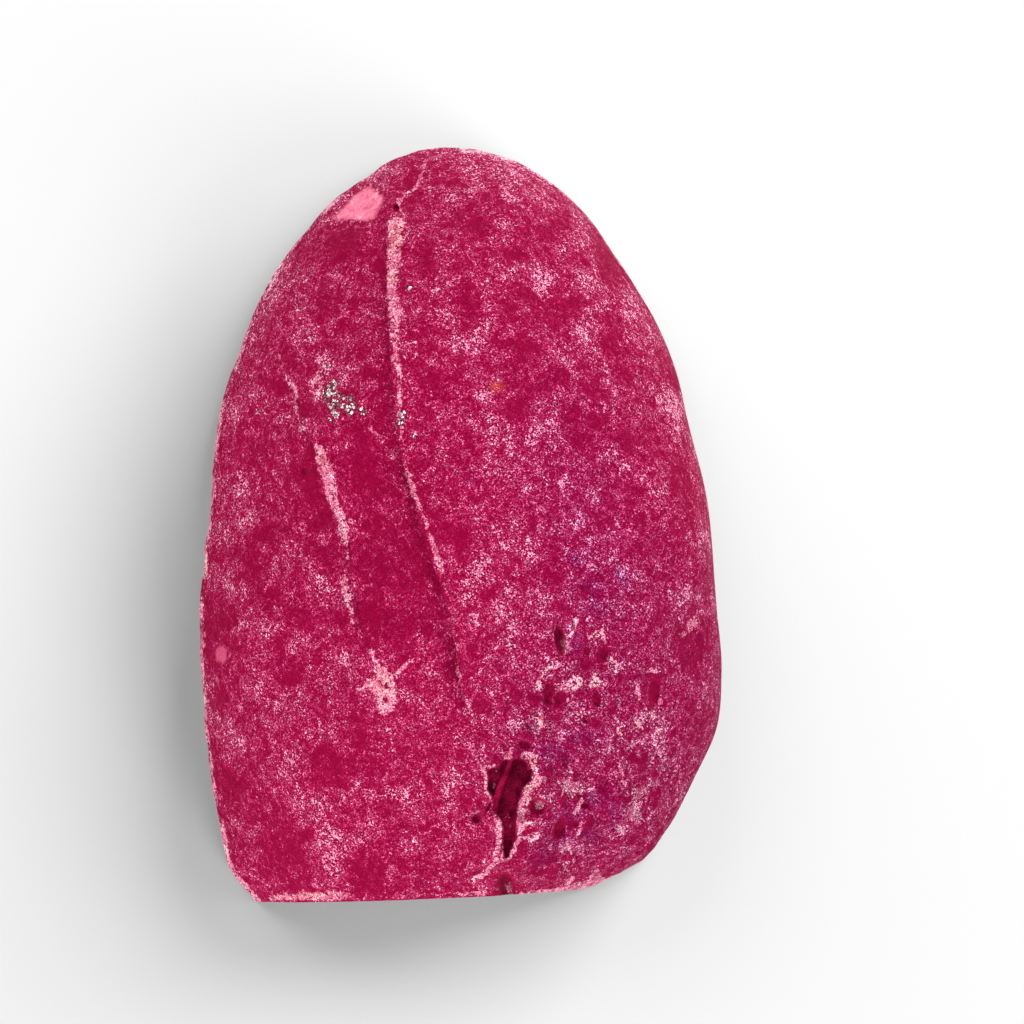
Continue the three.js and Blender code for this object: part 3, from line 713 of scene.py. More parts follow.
# Patches of more or less frost, grouped by how much: x, y, half width, half length, and a turn.
PATCHES = {
    0.9: [
        (-20.5, 49.5, 4.5, 1.2, 42), (-12, 56, 4, 1.3, 28), (-13, 53.5, 1.3, 1.3),
        (10, 55.5, 6, 1.8, -28), (15.5, 49.2, 1.8, 2), (6, 41.7, 2.6, 1.5), (9.5, 40, 3, 1.8, -15),
        (12.8, 38.6, 1.3, 1.3), (21, 42, 0.9, 2.8, 30), (31.2, 30, 1.5, 1.8), (29.3, 21.4, 1.2, 2.2),
        (2.2, 15, 1.2, 1.6), (-33, 30.5, 1.6, 3.5, -14), (-25.4, 32.5, 1.8, 2),
        (-37.8, 20, 0.9, 3.5, -15), (-35, 4, 2, 2.5), (-32.5, 1, 2.5, 1.2), (-3.5, 3.2, 1.8, 2.2),
        (-8.4, 32, 1.4, 1.6), (-7.8, 45.6, 1.5, 1.8), (37.8, 9, 1, 4, 12), (-16.4, -1.6, 1.5, 2),
        (-15.6, -10, 1.8, 1.7), (-30, -26.7, 1.5, 1.8), (-35.8, -35.5, 1, 1.6), (-8.3, -21.8, 1.3, 1),
        (-0.5, -41, 1.2, 1.7), (12, -3.4, 2, 1.6, -30), (36, -6.6, 2.3, 1.4, 20), (9, -16.2, 1.6, 1.1),
        (32.6, -39.6, 2.3, 3), (29.5, -45.3, 1.3, 2.8), (13.5, 2, 1.1, 1.2), (1.8, -47.8, 2.2, 1.1),
        (39.7, -24.5, 1.2, 4), (34.5, -45.5, 1.2, 2.5, -31),
    ],
    0.5: [
        (22, -25.2, 1.8, 1.2), (24.6, -23.2, 1, 1.5), (18.2, -26.6, 1.8, 0.9),
        (14.6, -23.4, 1.5, 0.9, 30), (18.5, -17.2, 0.7, 1.6), (17.8, -43.3, 2, 1.6),
        (28.3, -47, 1.3, 2.4, 20), (12.4, -31.3, 1.3, 1.1), (16.2, -33.6, 2, 1.2), (36.5, -17, 1, 2, -40),
        (-18, -1.8, 1.5, 1.6), (-17.8, -11, 1.3, 2.4), (-28, 40.7, 1.1, 1.6), (-17, 38.6, 1.4, 1.2),
        (-14.7, 34, 1, 1), (-8.6, 37, 1.2, 1), (-4.5, 45.6, 1.5, 1), (-6.5, 49.3, 1, 1),
        (-4.5, 52.7, 1, 0.8), (-0.3, 52.2, 1.1, 1), (1.8, 55.7, 1.1, 1.3), (-15.7, 20, 1, 1.5),
        (-22.5, 19.5, 1.4, 1.4), (-8.5, 19.3, 0.8, 2), (-20, 10, 0.8, 1.8), (-31, 7, 1, 1),
        (13.8, 42, 1.5, 1), (3.5, 37, 1.8, 0.9, -30), (5, 33.8, 0.8, 1.4), (9.2, 31.4, 1.4, 1),
        (13.3, 30, 0.7, 1), (14.2, 26.5, 0.7, 1.4), (0.5, 29, 1.5, 1), (3, 30.6, 1, 0.8),
        (5.5, 24.7, 1.8, 0.9), (22, 25.3, 1.3, 1.1), (17.6, 22.3, 0.7, 1.6), (27.5, 33, 1.5, 0.8),
        (11.7, 14.2, 1.6, 0.9), (-0.5, 21.5, 1.4, 1), (5.5, 12.3, 1.8, 0.9, -25), (20, 9, 1.3, 0.8),
        (26.5, 9, 1.5, 0.9, 30), (1.5, 7.8, 1.3, 1), (4.8, 7, 1, 0.9), (5.2, 3.3, 1.8, 1.3, 30),
        (28.8, 2.5, 1.2, 1.1), (35, 0.8, 1.6, 0.9), (33, 14.6, 1.4, 0.9), (-34, -3.8, 1.4, 1),
        (-11.5, -10.2, 1.1, 1), (-26.5, -11.3, 1.5, 0.9), (-24.2, -12.8, 1.4, 0.9), (-20, -13, 1.8, 0.8),
        (-32, -16.5, 1.8, 1.6), (-28.4, -17, 0.9, 1.4, -20), (-33.4, -22, 1, 1.4), (-39.8, -27, 0.9, 2.2),
        (-30, -40, 2, 1.2), (-26, -38.5, 2.2, 1), (-8, -29.2, 0.9, 0.8), (-5.5, -32.6, 0.7, 1.3, -20),
        (-1, -34.6, 1.3, 0.8, -30), (-11, -37.7, 2, 0.8), (-8.5, -43, 1.1, 0.9), (-11, -44.3, 0.9, 0.9),
        (-4.8, -41, 1.3, 0.9), (-3, -48.4, 1.8, 1.1), (-3, -53, 1.2, 0.8), (-15.8, -50.6, 1, 1.2),
        (-23.5, -52.6, 1, 0.8), (-22, -58, 0.6, 1.5, 30), (-38.8, -41, 0.7, 0.9), (3.8, -6.3, 1.1, 0.9),
        (9.2, -8.6, 0.7, 1.4), (34, -2, 0.8, 1.3), (22, -10, 1, 0.8), (13, -14.6, 1.2, 0.9),
        (6.3, -15.2, 1.3, 0.8), (1.6, -16.8, 0.8, 0.8), (26, -17.2, 1.2, 1), (19.2, -18.3, 0.7, 0.8),
        (28, -23, 1.2, 2, -25), (34.6, -27, 1.3, 2.2), (34, -30, 1, 1), (12, -26.2, 1.8, 0.9),
        (4.3, -27.6, 0.9, 1.2, 20), (12.5, -31.2, 1, 0.8), (18.5, -33.2, 1.8, 0.5), (28, -32.3, 1, 1),
        (38.6, -37, 1.4, 1, 30), (17.3, -43.2, 1.1, 0.9), (26, -52.6, 2.5, 1.2, 20),
        (16, -55.6, 0.9, 0.9), (29.8, -12.8, 1.4, 0.9, 20), (38.6, -15, 1, 2), (30, -20, 7, 10),
        (12, -14, 2.5, 4), (12, 12, 9, 9),
    ],
    -0.5: [
        (-20, 43, 3, 1.8), (-14, 40.7, 2.5, 1.3, -20), (-21, 33.3, 1.3, 1.3), (-27, 26, 1.2, 2.2),
        (-14.5, 26.6, 1.8, 0.9, 15), (-26, 15.8, 1.6, 0.7), (-35.6, 13, 0.8, 2.2), (-23, 13.8, 0.8, 1.4),
        (-4, 10.3, 1.3, 2), (-26, 7.5, 1, 1.8), (-23.6, 3, 0.9, 1.8), (-26.5, 0.8, 1.6, 0.9),
        (-2.8, 37.5, 1.3, 1), (-5, 34.6, 1.2, 0.9), (5, 51.3, 1.6, 1.8), (11.5, 50.6, 0.6, 1.4),
        (13.8, 45, 1, 0.6), (17, 39.3, 1.6, 1), (12.3, 33, 2.2, 0.7), (10.3, 27, 1.8, 2.2),
        (11, 22, 1.8, 1.3), (15, 16.5, 1.8, 1.3), (28, 16.4, 1.2, 0.7), (8, 8.5, 0.9, 0.9),
        (3, 10, 1.3, 0.8), (2, 33.3, 1.1, 0.8), (28, 5.8, 1.2, 0.6), (34, 5, 1.6, 0.9, -20),
        (16.6, 9, 0.7, 1.2, 20), (-37.6, -5.4, 0.9, 1.1), (-21.5, -16.7, 2, 0.9, -30),
        (-26.3, -22, 0.9, 1.3, 20), (-3, -24, 2.5, 1.2), (-18.5, -35, 0.8, 2.2, -20),
        (-32, -33.5, 1.1, 0.9), (-33.5, -46, 0.9, 1.4), (-19, -56, 1.2, 0.9), (-3.8, -28.7, 0.9, 0.8),
        (-3, -36.5, 1.3, 0.8), (-13, -15.5, 1.4, 2.5), (-40, -14, 1, 1), (4, -2.7, 2.2, 0.9),
        (10.8, -19.5, 1.3, 0.8), (13.5, -21, 1.3, 1.2), (32.5, -21.8, 1, 1), (24.5, -32.5, 0.9, 0.9),
        (27.6, -35.6, 1.1, 0.9), (32.5, -33.3, 1.8, 0.9), (12, -36.6, 1.8, 1), (22, -36.3, 0.9, 0.8),
        (3, -51.3, 1, 0.9), (0, -45, 1, 0.7), (1.8, -37.3, 0.8, 0.8), (12.3, -50.3, 1.3, 1),
        (31.5, -8.8, 0.9, 1.2), (26.5, -11.8, 0.8, 1.8), (30.5, -28, 0.8, 1.4), (18.7, -30.4, 1.3, 0.7),
    ],
    -0.9: [
        (-7.6, 54, 1.4, 1.6), (-18.3, 31, 1.8, 1.4, -30), (-21, 28.2, 1.5, 1), (-22.6, 24.5, 1.6, 1),
        (-27, 20.8, 1.6, 1), (-5, 27.3, 2.8, 1.3), (-12.3, 22.2, 2.2, 1.3), (-12.6, 17.2, 1, 2),
        (-12, 38, 1, 2.2, 15), (-30.5, 12.2, 1.8, 1), (16, 31, 1, 1.6), (20.4, 34.7, 1, 0.9),
        (23.6, 32.5, 0.9, 1.9), (26.2, 25, 1.3, 2), (28.6, 26.8, 2, 0.8), (7.8, 16.6, 2.4, 1.2),
        (21, 16, 2, 1.6), (21.6, 20.3, 1.8, 1), (15, 11.6, 0.8, 1.7), (30.5, 10, 0.9, 2, 10),
        (17.6, 0.6, 0.9, 0.9), (21, 1.2, 1, 1.8), (26.3, 40, 1.2, 6.5, 35), (-26.5, -4, 0.9, 2.2),
        (-32, -9, 1.3, 1.6), (-10, -2.6, 2, 1.4), (-39.8, -19.5, 1.6, 5.5), (-19.5, -20.2, 1.7, 1.5),
        (-22.3, -30, 1.7, 1.6), (-25.2, -34, 1.4, 2, -15), (-18, -42, 1.6, 1.2, 20), (-7.7, -50, 1.5, 2),
        (22.6, -2, 2.4, 1.8, -20), (16, -9.4, 3, 2.3), (18.6, -15, 1.6, 1.2), (21.9, -14.6, 0.9, 1.6),
        (5, -11, 2.5, 0.9, -30), (24, -42.6, 1.6, 1.2), (23, -47, 1.1, 1.5), (13.8, -44.2, 1, 1.5),
        (8.8, -55, 1.2, 1.5), (34.9, -18.7, 1, 1.2),
    ],
}
print("tufts:", sum(len(places) for places in FROST.values()))
print("patches:", sum(len(places) for places in PATCHES.values()))

# %% Bare and tinted places
# Ovals: x, y, half width, half length, and a turn where there is one. These are smooth crimson.
BARE = [
    (-24.3, 7, 1.8, 4.5, -12), (-22, 1, 1.5, 3, -20), (-16.5, 13.5, 2, 1.8), (20.3, -23.2, 0.7, 0.9),
    (15.3, -31.5, 0.9, 0.9), (12.3, -28.7, 0.6, 0.6), (-19, 44.5, 3, 1.5), (-1, 54.5, 1.8, 0.8),
    (3, 47, 1.8, 1.8), (-5.5, 42.3, 1.8, 2), (10, 37, 2, 2), (2, 35, 2.3, 2), (8, 42.5, 1.8, 1.8),
    (23.3, 41.2, 1.3, 3.6, 20), (16.5, 48, 1.8, 1.8), (17, 34.5, 2.3, 1), (-24, 17.5, 1.8, 1.5),
    (-15, 8, 3.2, 7, 10), (-12.5, -6, 3.5, 8, 12), (-9.5, -17, 3, 5, 15), (-15, -13, 1.8, 5, 5),
    (10, 28, 2, 1.6), (-3, 23.5, 2, 2), (9, 18, 1.8, 1.5), (2, 11, 1.8, 1.8), (16, 23.5, 1.8, 1.5),
    (20, 21, 1.5, 1.3), (18, 17.5, 1.5, 1.3), (27, 12.5, 1.8, 1.8), (32, 26.5, 1.5, 1.8),
    (34.5, 22.5, 1.2, 1.8), (24, 28, 1.6, 1.4), (19.5, 13, 1.5, 1.3), (36.5, 7.5, 1.5, 2.4),
    (-31.5, -2, 2, 2), (-33, -7.3, 2, 2.4), (-30.5, -11.5, 2, 1.4), (-25.5, -16, 1.8, 1.6),
    (-19.5, -16, 1.5, 1.8), (-37.5, -16, 1.6, 1.8), (-26.7, -25, 2.8, 1.8), (-21, -7, 1.5, 1.8),
    (-3.2, -1.7, 1.8, 1.8), (0.3, -3.5, 1.6, 1.6), (3.7, -11.5, 1, 1), (16, -13.5, 1.5, 0.8),
    (38.5, -20, 2.2, 4), (-38.3, -28, 1.4, 1.8), (-20.5, -38.5, 3.4, 2.8), (-17, -32, 1.8, 1.4),
    (-37, -41, 2.5, 2.5), (-27, -52, 3.2, 5.5), (-15, -56.5, 2.4, 2.8), (29, -38.5, 1.6, 1.6),
    (-6.5, -5.5, 2.4, 7.5, 22), (1.7, -20.7, 1.4, 1.2), (7.3, -7.7, 0.8, 1.2), (31, -27.2, 1, 2.5, -6),
    (22.8, -21.5, 0.9, 1.5, -15), (21.5, -28.8, 0.8, 1.3), (16.5, -28.3, 0.8, 1.1),
]
# Tints, each read by the material under the same name.
VIOLET = [
    (14.5, -37.3, 3.2, 2), (22, -44.5, 2, 1.6), (20.3, -50, 2.2, 1.6), (18.5, -6.5, 1.6, 1.3),
    (21, -10.5, 2, 1.6), (22, -14, 1.8, 1.5), (26, -9.5, 1.6, 1.6), (9.6, -36.8, 1.4, 1.2),
    (2, 7, 0.7, 0.6), (17.5, -47.5, 2.4, 1.4, 20), (24.5, -46.5, 1.6, 2), (18.5, -19.5, 1.2, 1.8),
    (12.5, -54, 2, 1.2), (16, -51, 1.6, 1.6), (20, -34.5, 2.5, 1.5),
]
MAUVE = [
    (17.7, -42.6, 1.9, 1.5, -20), (28.7, -43.3, 0.9, 1.1), (27.6, -46.8, 1.3, 1.6),
    (25.7, -49.5, 0.6, 0.6), (16.6, -52.2, 0.9, 0.7), (22, -57, 0.7, 1), (17, -19.9, 0.9, 1.6, 6),
    (7.9, -58.8, 0.5, 1, 10), (2.6, -46.4, 0.6, 0.6), (12.7, -45.6, 0.8, 0.7),
    (5.5, -42.4, 0.3, 0.5, -20), (-1.3, -15.6, 0.3, 0.8, -20),
]
CREAM = [
    (-10.4, 45.6, 1.8, 2.8), (-11, 39, 0.7, 1), (-12.2, -26, 1.9, 2.2), (-22.1, 9.7, 1.1, 1.2),
    (11.3, -42.6, 1.5, 1, 20), (12, -38.4, 0.8, 0.9), (-40.8, -7, 1, 3), (-24, -59.5, 5, 1.2),
]
SPARKLES = [
    (-21.1, 24.8, 0.4, 0.3), (-20.5, 21.8, 0.8, 0.5, 30), (-20.9, 20.8, 1, 0.6), (-20.3, 18.7, 0.8, 0.8),
    (-19.7, 20.4, 0.6, 0.4), (-21.3, 19.6, 0.5, 0.4), (-19, 18.6, 0.5, 0.4), (-19.8, 17.2, 0.7, 0.7),
    (-20.6, 16.1, 0.5, 0.3), (-18.8, 19.7, 0.6, 0.4), (-17.4, 19.6, 0.7, 0.5, 30),
    (-17.1, 18.5, 0.7, 0.6), (-18.1, 18, 0.6, 0.6), (-16.3, 19, 0.4, 0.3), (-15.8, 17.9, 0.5, 0.3),
    (-17.6, 17.2, 0.7, 0.4), (-15.3, 17.4, 0.6, 0.4, 30), (-9.3, 17, 0.5, 0.8), (-9.6, 15.7, 0.5, 0.6),
    (-7.4, 13.4, 0.35, 0.5, -20), (-32.5, 17.6, 0.3, 0.3), (-8, 37.3, 0.4, 0.4), (8.2, -48.7, 0.3, 0.3),
]
OCHRE = [(5.8, 21.5, 1, 0.7)]
SMOOTH_PALE = (-38.2, -21.4, 1, 1.3)
# The smooth chip's outline, and a crimson spot in it.
CHIP_CORNERS = [
    (-20.7, 48.7), (-18, 51.5), (-16, 53), (-14.5, 53.5), (-12.5, 52), (-13.2, 50), (-13.8, 48.5),
    (-15.5, 48.4), (-18, 48.8),
]
CHIP_SPOT = [(-15.5, 50.35, 0.55, 0.3)]
# Broad sides of the stone: a dusky one, a redder one and a gritty one.
DUSKY_SIDE = (19, 4, 9, 20, 10)
MAGENTA_SIDE = (30, -36, 26, 34)
GRITTY_SIDE = (20, -34, 19, 26)
print("bare places:", len(BARE), "glints:", len(SPARKLES))

# %% Measures for the paint


def tufts(plan, places, radius):
    """Soft round tufts, added up."""
    amount = np.zeros(len(plan))
    for x, y in places:
        amount += np.exp(-((plan[:, 0] - x) ** 2 + (plan[:, 1] - y) ** 2) / radius**2)
    return amount


def soft_oval(plan, place):
    """1 at an oval's centre, fading outwards."""
    return np.exp(-(from_oval(plan, *place) ** 2))


def ovals(plan, places):
    """Soft ovals; where they overlap the strongest counts."""
    amount = np.zeros(len(plan))
    for place in places:
        amount = np.maximum(amount, soft_oval(plan, place))
    return amount


def strip(plan, turns):
    """A strip of crust whose half width and strength change from turn to turn."""
    distance, _, share = from_route(plan, [turn[:2] for turn in turns])
    steps = np.linspace(0, 1, len(turns))
    width = np.interp(share, steps, [turn[2] for turn in turns])
    strength = np.interp(share, steps, [turn[3] for turn in turns])
    return strength * ramp(distance, 1.1 * width, 0.6 * width)


def wandered(plan, points, waves):
    """The plan, drifted by noise: how far, the size of the noise and a seed for each wave."""
    for far, size, seed in waves:
        plan = plan + far * drift_at(points, size, seed)
    return plan


# %% How much frost and crust there is
drifted = wandered(plan, points, [(0.9, 3.2, 4.4), (0.7, 1.3, 9.2)])
nudged = wandered(plan, points, [(0.3, 1.6, 2.8), (0.25, 0.7, 6.1)])

frost_and_rim_sheen = sum(tufts(drifted, places, radius) for radius, places in FROST.items())
for start, end, half_width in STREAKS:
    distance, _, _ = from_route(drifted, [start, end])
    frost_and_rim_sheen += np.exp(-((distance / half_width) ** 2))
frost_and_rim_sheen = np.minimum(frost_and_rim_sheen, 1.3) - 1.2 * ovals(drifted, BARE)
for amount, places in PATCHES.items():
    for place in places:
        frost_and_rim_sheen += amount * soft_oval(drifted, place)
# The knobbly side has frost in its grooves. The steep flanks above it and the upper end are
# paler too: partly frost, and partly a painted sheen along the rim.
frost_and_rim_sheen += knobbly * (0.6 - 1.4 * nodules)
frost_and_rim_sheen += 0.4 * ramp(facing[:, 2], 0.6, 0.25) * ramp(plan[:, 1], -44, -24)
frost_and_rim_sheen += 0.4 * ramp(plan[:, 1], 53, 58)

crust = np.zeros(len(plan))
for turns in CRUSTS:
    crust = np.maximum(crust, strip(nudged, turns))
# The saw chipped the rim of the main face, which left it pale, least so at the base's middle.
chipped = 0.65 + 1.4 * noise_at(points, 5.0, 8.8)
at_base = ramp(plan[:, 1], -55, -58) * ramp(plan[:, 0], 6, 0) * ramp(plan[:, 0], -20, -16)
crust = np.maximum(crust, chipped * (1 - 0.85 * at_base) * ramp(points[:, 2], 2.4, 0.6))
print("mean frost:", round(float(frost_and_rim_sheen.mean()), 3), "mean crust:", round(float(crust.mean()), 3))

# %% Paint every vertex
chip_inside = from_mouth(0.5 * (plan + nudged), CHIP_CORNERS)
paint = {
    "frost_and_rim_sheen": frost_and_rim_sheen,
    "crust": crust,
    "hollow_shade": painted_shade,
    "violet": ovals(drifted, VIOLET) + 0.5 * ovals(drifted, [DUSKY_SIDE]),
    "mauve": ovals(nudged, MAUVE),
    "cream": ovals(nudged, CREAM),
    "sparkle": ovals(nudged, SPARKLES),
    "ochre": ovals(nudged, OCHRE),
    "smooth_pale": ramp(from_oval(nudged, *SMOOTH_PALE), 1.15, 0.85),
    "chip": ramp(chip_inside, -0.1, 0.2) - 0.75 * ovals(plan, CHIP_SPOT),
    "magenta": ramp(from_oval(drifted, *MAGENTA_SIDE), 1.3, 0.5),
    "grit": ramp(from_oval(drifted, *GRITTY_SIDE), 1.25, 0.6),
    "depth": np.ones(len(plan)),
}
layers = {name: stone_form.verts.layers.float.new(name) for name in paint}
for name, layer in layers.items():
    for vertex, amount in zip(stone_form.verts, paint[name].tolist()):
        vertex[layer] = amount
    print(name, "mean", round(float(paint[name].mean()), 3))

# %% [markdown]
# ## Sawing
# Two cuts of a plane saw the stone: the main face that it lies on, and the base at its lower
# end. Each open cut is closed with one face, which is then made a fan of triangles about its
# middle. The number called depth is 1 on the rind and 0 at the middle of a fan, so it runs
# evenly inwards from the rim, and the material can draw the agate's bands ring inside ring.

# %% Saw the face and the base
BASE_CUT_Y = -59.6
BASE_CUT_TURN = 0.04
# The heart of the base's bands lies to the right of the middle, below the notch in its rim, and
# nearer the ground. From there the whole rim is in plain sight, so the fan has no folds.
HEART_SHIFT = 13.5
HEART_DROP = 0.5
MANY_CORNERS = 20
FACE, BASE = 1, 2
base_facing = Vector((math.sin(BASE_CUT_TURN), -math.cos(BASE_CUT_TURN), 0))
base_along = Vector((math.cos(BASE_CUT_TURN), math.sin(BASE_CUT_TURN), 0))


def saw(form, through, towards):
    """Cuts the form by a plane, drops what lies towards its normal, and closes the cut."""
    cut = bmesh.ops.bisect_plane(
        form,
        geom=[*form.verts, *form.edges, *form.faces],
        plane_co=through,
        plane_no=towards,
        clear_outer=True,
    )
    rim = [item for item in cut["geom_cut"] if isinstance(item, bmesh.types.BMEdge)]
    bmesh.ops.edgeloop_fill(form, edges=rim)


saw(stone_form, (0, 0, 0), (0, 0, -1))
saw(stone_form, (0, BASE_CUT_Y, 0), base_facing)
cut_faces = [face for face in stone_form.faces if len(face.verts) > MANY_CORNERS]
for face in cut_faces:
    for edge in face.edges:
        edge.smooth = False
    face.material_index = FACE if face.normal.z < -0.9 else BASE
print("sawn faces:", [len(face.verts) for face in cut_faces], "corners")
fan = bmesh.ops.poke(stone_form, faces=cut_faces)
for vertex in fan["verts"]:
    vertex[layers["depth"]] = 0.0
    on_base = vertex.co.z > 1
    if on_base:
        vertex.co += HEART_SHIFT * base_along
        vertex.co.z *= HEART_DROP

# %% Make the finished mesh
bmesh.ops.recalc_face_normals(stone_form, faces=stone_form.faces)
bmesh.ops.translate(stone_form, verts=stone_form.verts, vec=CENTRING)
bmesh.ops.scale(stone_form, verts=stone_form.verts, vec=(MM, MM, MM))
for face in stone_form.faces:
    face.smooth = face.material_index == 0
stone_mesh = bpy.data.meshes.new("agate_rind")
stone_form.to_mesh(stone_mesh)
stone_form.free()
stone = bpy.data.objects.new("agate_rind", stone_mesh)
bpy.context.scene.collection.objects.link(stone)
print("fine stone:", len(stone_mesh.polygons), "triangles")

# %% [markdown]
# ## Shader trees
# The finish of the rind and of the sawn faces is drawn by trees of shader nodes. A few helpers
# add one kind of node each, and they take sockets or plain numbers, so that a tree reads like a
# sum. A socket knows the tree it belongs to, so most helpers need not be told which one.

# %% Helpers for the shader trees


def dye(red, green, blue):
    """A colour given in levels up to 255, turned into the share of light that it reflects."""
    linear = []
    for level in (red, green, blue):
        share = level / 255
        linear.append(share / 12.92 if share <= 0.04045 else ((share + 0.055) / 1.055) ** 2.4)
    return (*linear, 1.0)


def tree_of(*sources):
    """The tree of the first socket among some sockets and numbers."""
    return next(source.id_data for source in sources if isinstance(source, bpy.types.NodeSocket))


def feed(source, socket):
    """Links a socket to a socket, or sets a plain value."""
    if isinstance(source, bpy.types.NodeSocket):
        tree_of(socket).links.new(source, socket)
    else:
        socket.default_value = source


def maths(operation, *sources, clamp=False):
    """A Math node fed with sockets or numbers."""
    node = tree_of(*sources).nodes.new("ShaderNodeMath")
    node.operation = operation
    node.use_clamp = clamp
    for source, socket in zip(sources, node.inputs):
        feed(source, socket)
    return node.outputs[0]


def scaled(value, factor, offset=None):
    """A value times a factor, and plus an offset where there is one."""
    if offset is None:
        return maths("MULTIPLY", value, factor)
    return maths("MULTIPLY_ADD", value, factor, offset)


def soft_step(value, low, high):
    """0 below low and 1 above high, with a soft S between."""
    node = tree_of(value).nodes.new("ShaderNodeMapRange")
    node.interpolation_type = "SMOOTHSTEP"
    feed(value, node.inputs["Value"])
    feed(low, node.inputs["From Min"])
    feed(high, node.inputs["From Max"])
    return node.outputs["Result"]


def blend(share, under, over, mode="MIX"):
    """Lays a colour over another by a share."""
    node = tree_of(share, under, over).nodes.new("ShaderNodeMix")
    node.data_type = "RGBA"
    node.blend_type = mode
    feed(share, node.inputs[0])
    feed(under, node.inputs[6])
    feed(over, node.inputs[7])
    return node.outputs[2]


def grain(position, size, detail=0.0, roughness=0.5, shift=0.0, twist=0.0):
    """Fractal noise about 0, for grains of a size in millimetres, askew to the axes."""
    tree = tree_of(position)
    place = tree.nodes.new("ShaderNodeMapping")
    place.inputs["Location"].default_value = (shift, shift * 0.7, -shift)
    place.inputs["Rotation"].default_value = (0.6, 0.45, 0.8)
    node = tree.nodes.new("ShaderNodeTexNoise")
    node.inputs["Scale"].default_value = 1 / size
    node.inputs["Detail"].default_value = detail
    node.inputs["Roughness"].default_value = roughness
    node.inputs["Distortion"].default_value = twist
    feed(position, place.inputs["Vector"])
    feed(place.outputs[0], node.inputs["Vector"])
    return maths("SUBTRACT", node.outputs[0], 0.5)


def painted(tree, name):
    """The number that each vertex carries under a name."""
    node = tree.nodes.new("ShaderNodeAttribute")
    node.attribute_name = name
    return node.outputs["Fac"]


def colour_scale(value, stops):
    """A colour ramp: for each stop its place and the red, green and blue levels."""
    node = tree_of(value).nodes.new("ShaderNodeValToRGB")
    stop_list = node.color_ramp.elements
    while len(stop_list) < len(stops):
        stop_list.new(0.5)
    for stop, (place, *levels) in zip(stop_list, stops):
        stop.position = place
        stop.color = dye(*levels)
    feed(value, node.inputs[0])
    return node.outputs["Color"]


# %% Helpers for groups
KINDS = {"Position": "NodeSocketVector", "Color": "NodeSocketColor"}


def new_group(name, inputs, outputs):
    """A shader group with named sockets: its tree, its inputs and where its outputs are fed."""
    tree = bpy.data.node_groups.new(name, "ShaderNodeTree")
    for in_out, socket_names in (("INPUT", inputs), ("OUTPUT", outputs)):
        for socket_name in socket_names:
            kind = KINDS.get(socket_name, "NodeSocketFloat")
            tree.interface.new_socket(name=socket_name, in_out=in_out, socket_type=kind)
    return tree, tree.nodes.new("NodeGroupInput").outputs, tree.nodes.new("NodeGroupOutput").inputs


def use_group(tree, group, **sources):
    """A group node, fed by socket names."""
    node = tree.nodes.new("ShaderNodeGroup")
    node.node_tree = group
    for name, source in sources.items():
        feed(source, node.inputs[name])
    return node.outputs


# %% Positions in millimetres
millimetres, _, given_out = new_group("millimetres", [], ["Position"])
coordinates = millimetres.nodes.new("ShaderNodeTexCoord")
enlarged = millimetres.nodes.new("ShaderNodeMapping")
enlarged.inputs["Scale"].default_value = (1 / MM, 1 / MM, 1 / MM)
feed(coordinates.outputs["Object"], enlarged.inputs["Vector"])
feed(enlarged.outputs[0], given_out["Position"])
print("group:", millimetres.name)

# %% [markdown]
# ## Grain of the rind
# The rind is crimson dye in porous agate. Between bare crimson and a dense frost of quartz
# grains the colour runs along one scale, so one number per point can pick the colour: the
# painted frost, with its painted rim sheen, plus grain of several sizes. Every octave of size is
# about as strong as the next, from patches down to single grains. The same grain gives white
# flakes, dark specks in the frost, a dark rim round each flake, fine creases painted dark as
# shade, and the height for the bump.

# %% Dyed grain
dyed_grain, taken_in, given_out = new_group(
    "dyed_grain", ["Position", "Frost"], ["Amount", "Specks", "Shade", "CreaseShade", "Height"]
)
position = taken_in["Position"]
patches = grain(position, 3.3, detail=1.0, roughness=0.8)
tufted = grain(position, 1.5, detail=2.0, roughness=0.75, shift=5.0, twist=0.8)
sandy = grain(position, 0.42, shift=11.0)
dust = grain(position, 0.21, shift=17.0)
density = scaled(taken_in["Frost"], 0.24, 0.4)
density = scaled(patches, 0.57, density)
density = scaled(tufted, 1.2, density)
haze = soft_step(density, 0.06, 0.79)
ragged = scaled(sandy, 0.5, density)
flakes = soft_step(ragged, 0.71, 0.85)
fine = scaled(dust, 3.4, scaled(sandy, 1.5))
strength = scaled(haze, 0.41, 0.16)
amount = scaled(haze, 0.36, 0.08)
amount = scaled(flakes, 0.21, amount)
amount = scaled(tufted, 0.4, amount)
feed(scaled(fine, strength, amount), given_out["Amount"])
specks = soft_step(grain(position, 0.3, detail=1.0, roughness=0.9, shift=23.0), 0.12, 0.2)
feed(scaled(specks, haze), given_out["Specks"])
shade = scaled(grain(position, 0.2, shift=31.0), strength)
shade = scaled(shade, 5.0, 1.0)
rim = scaled(soft_step(ragged, 0.51, 0.71), maths("SUBTRACT", 1.0, flakes))
feed(scaled(rim, -0.15, shade), given_out["Shade"])
# Fine creases, painted dark as shade where the rind's crevices would lie in shadow.
crease_shade_noise = grain(position, 2.3, detail=1.0, roughness=0.6, shift=61.0, twist=1.0)
feed(soft_step(maths("ABSOLUTE", crease_shade_noise), 0.035, 0.005), given_out["CreaseShade"])
feed(scaled(tufted, 2.0, sandy), given_out["Height"])
print("nodes in the grain:", len(dyed_grain.nodes))

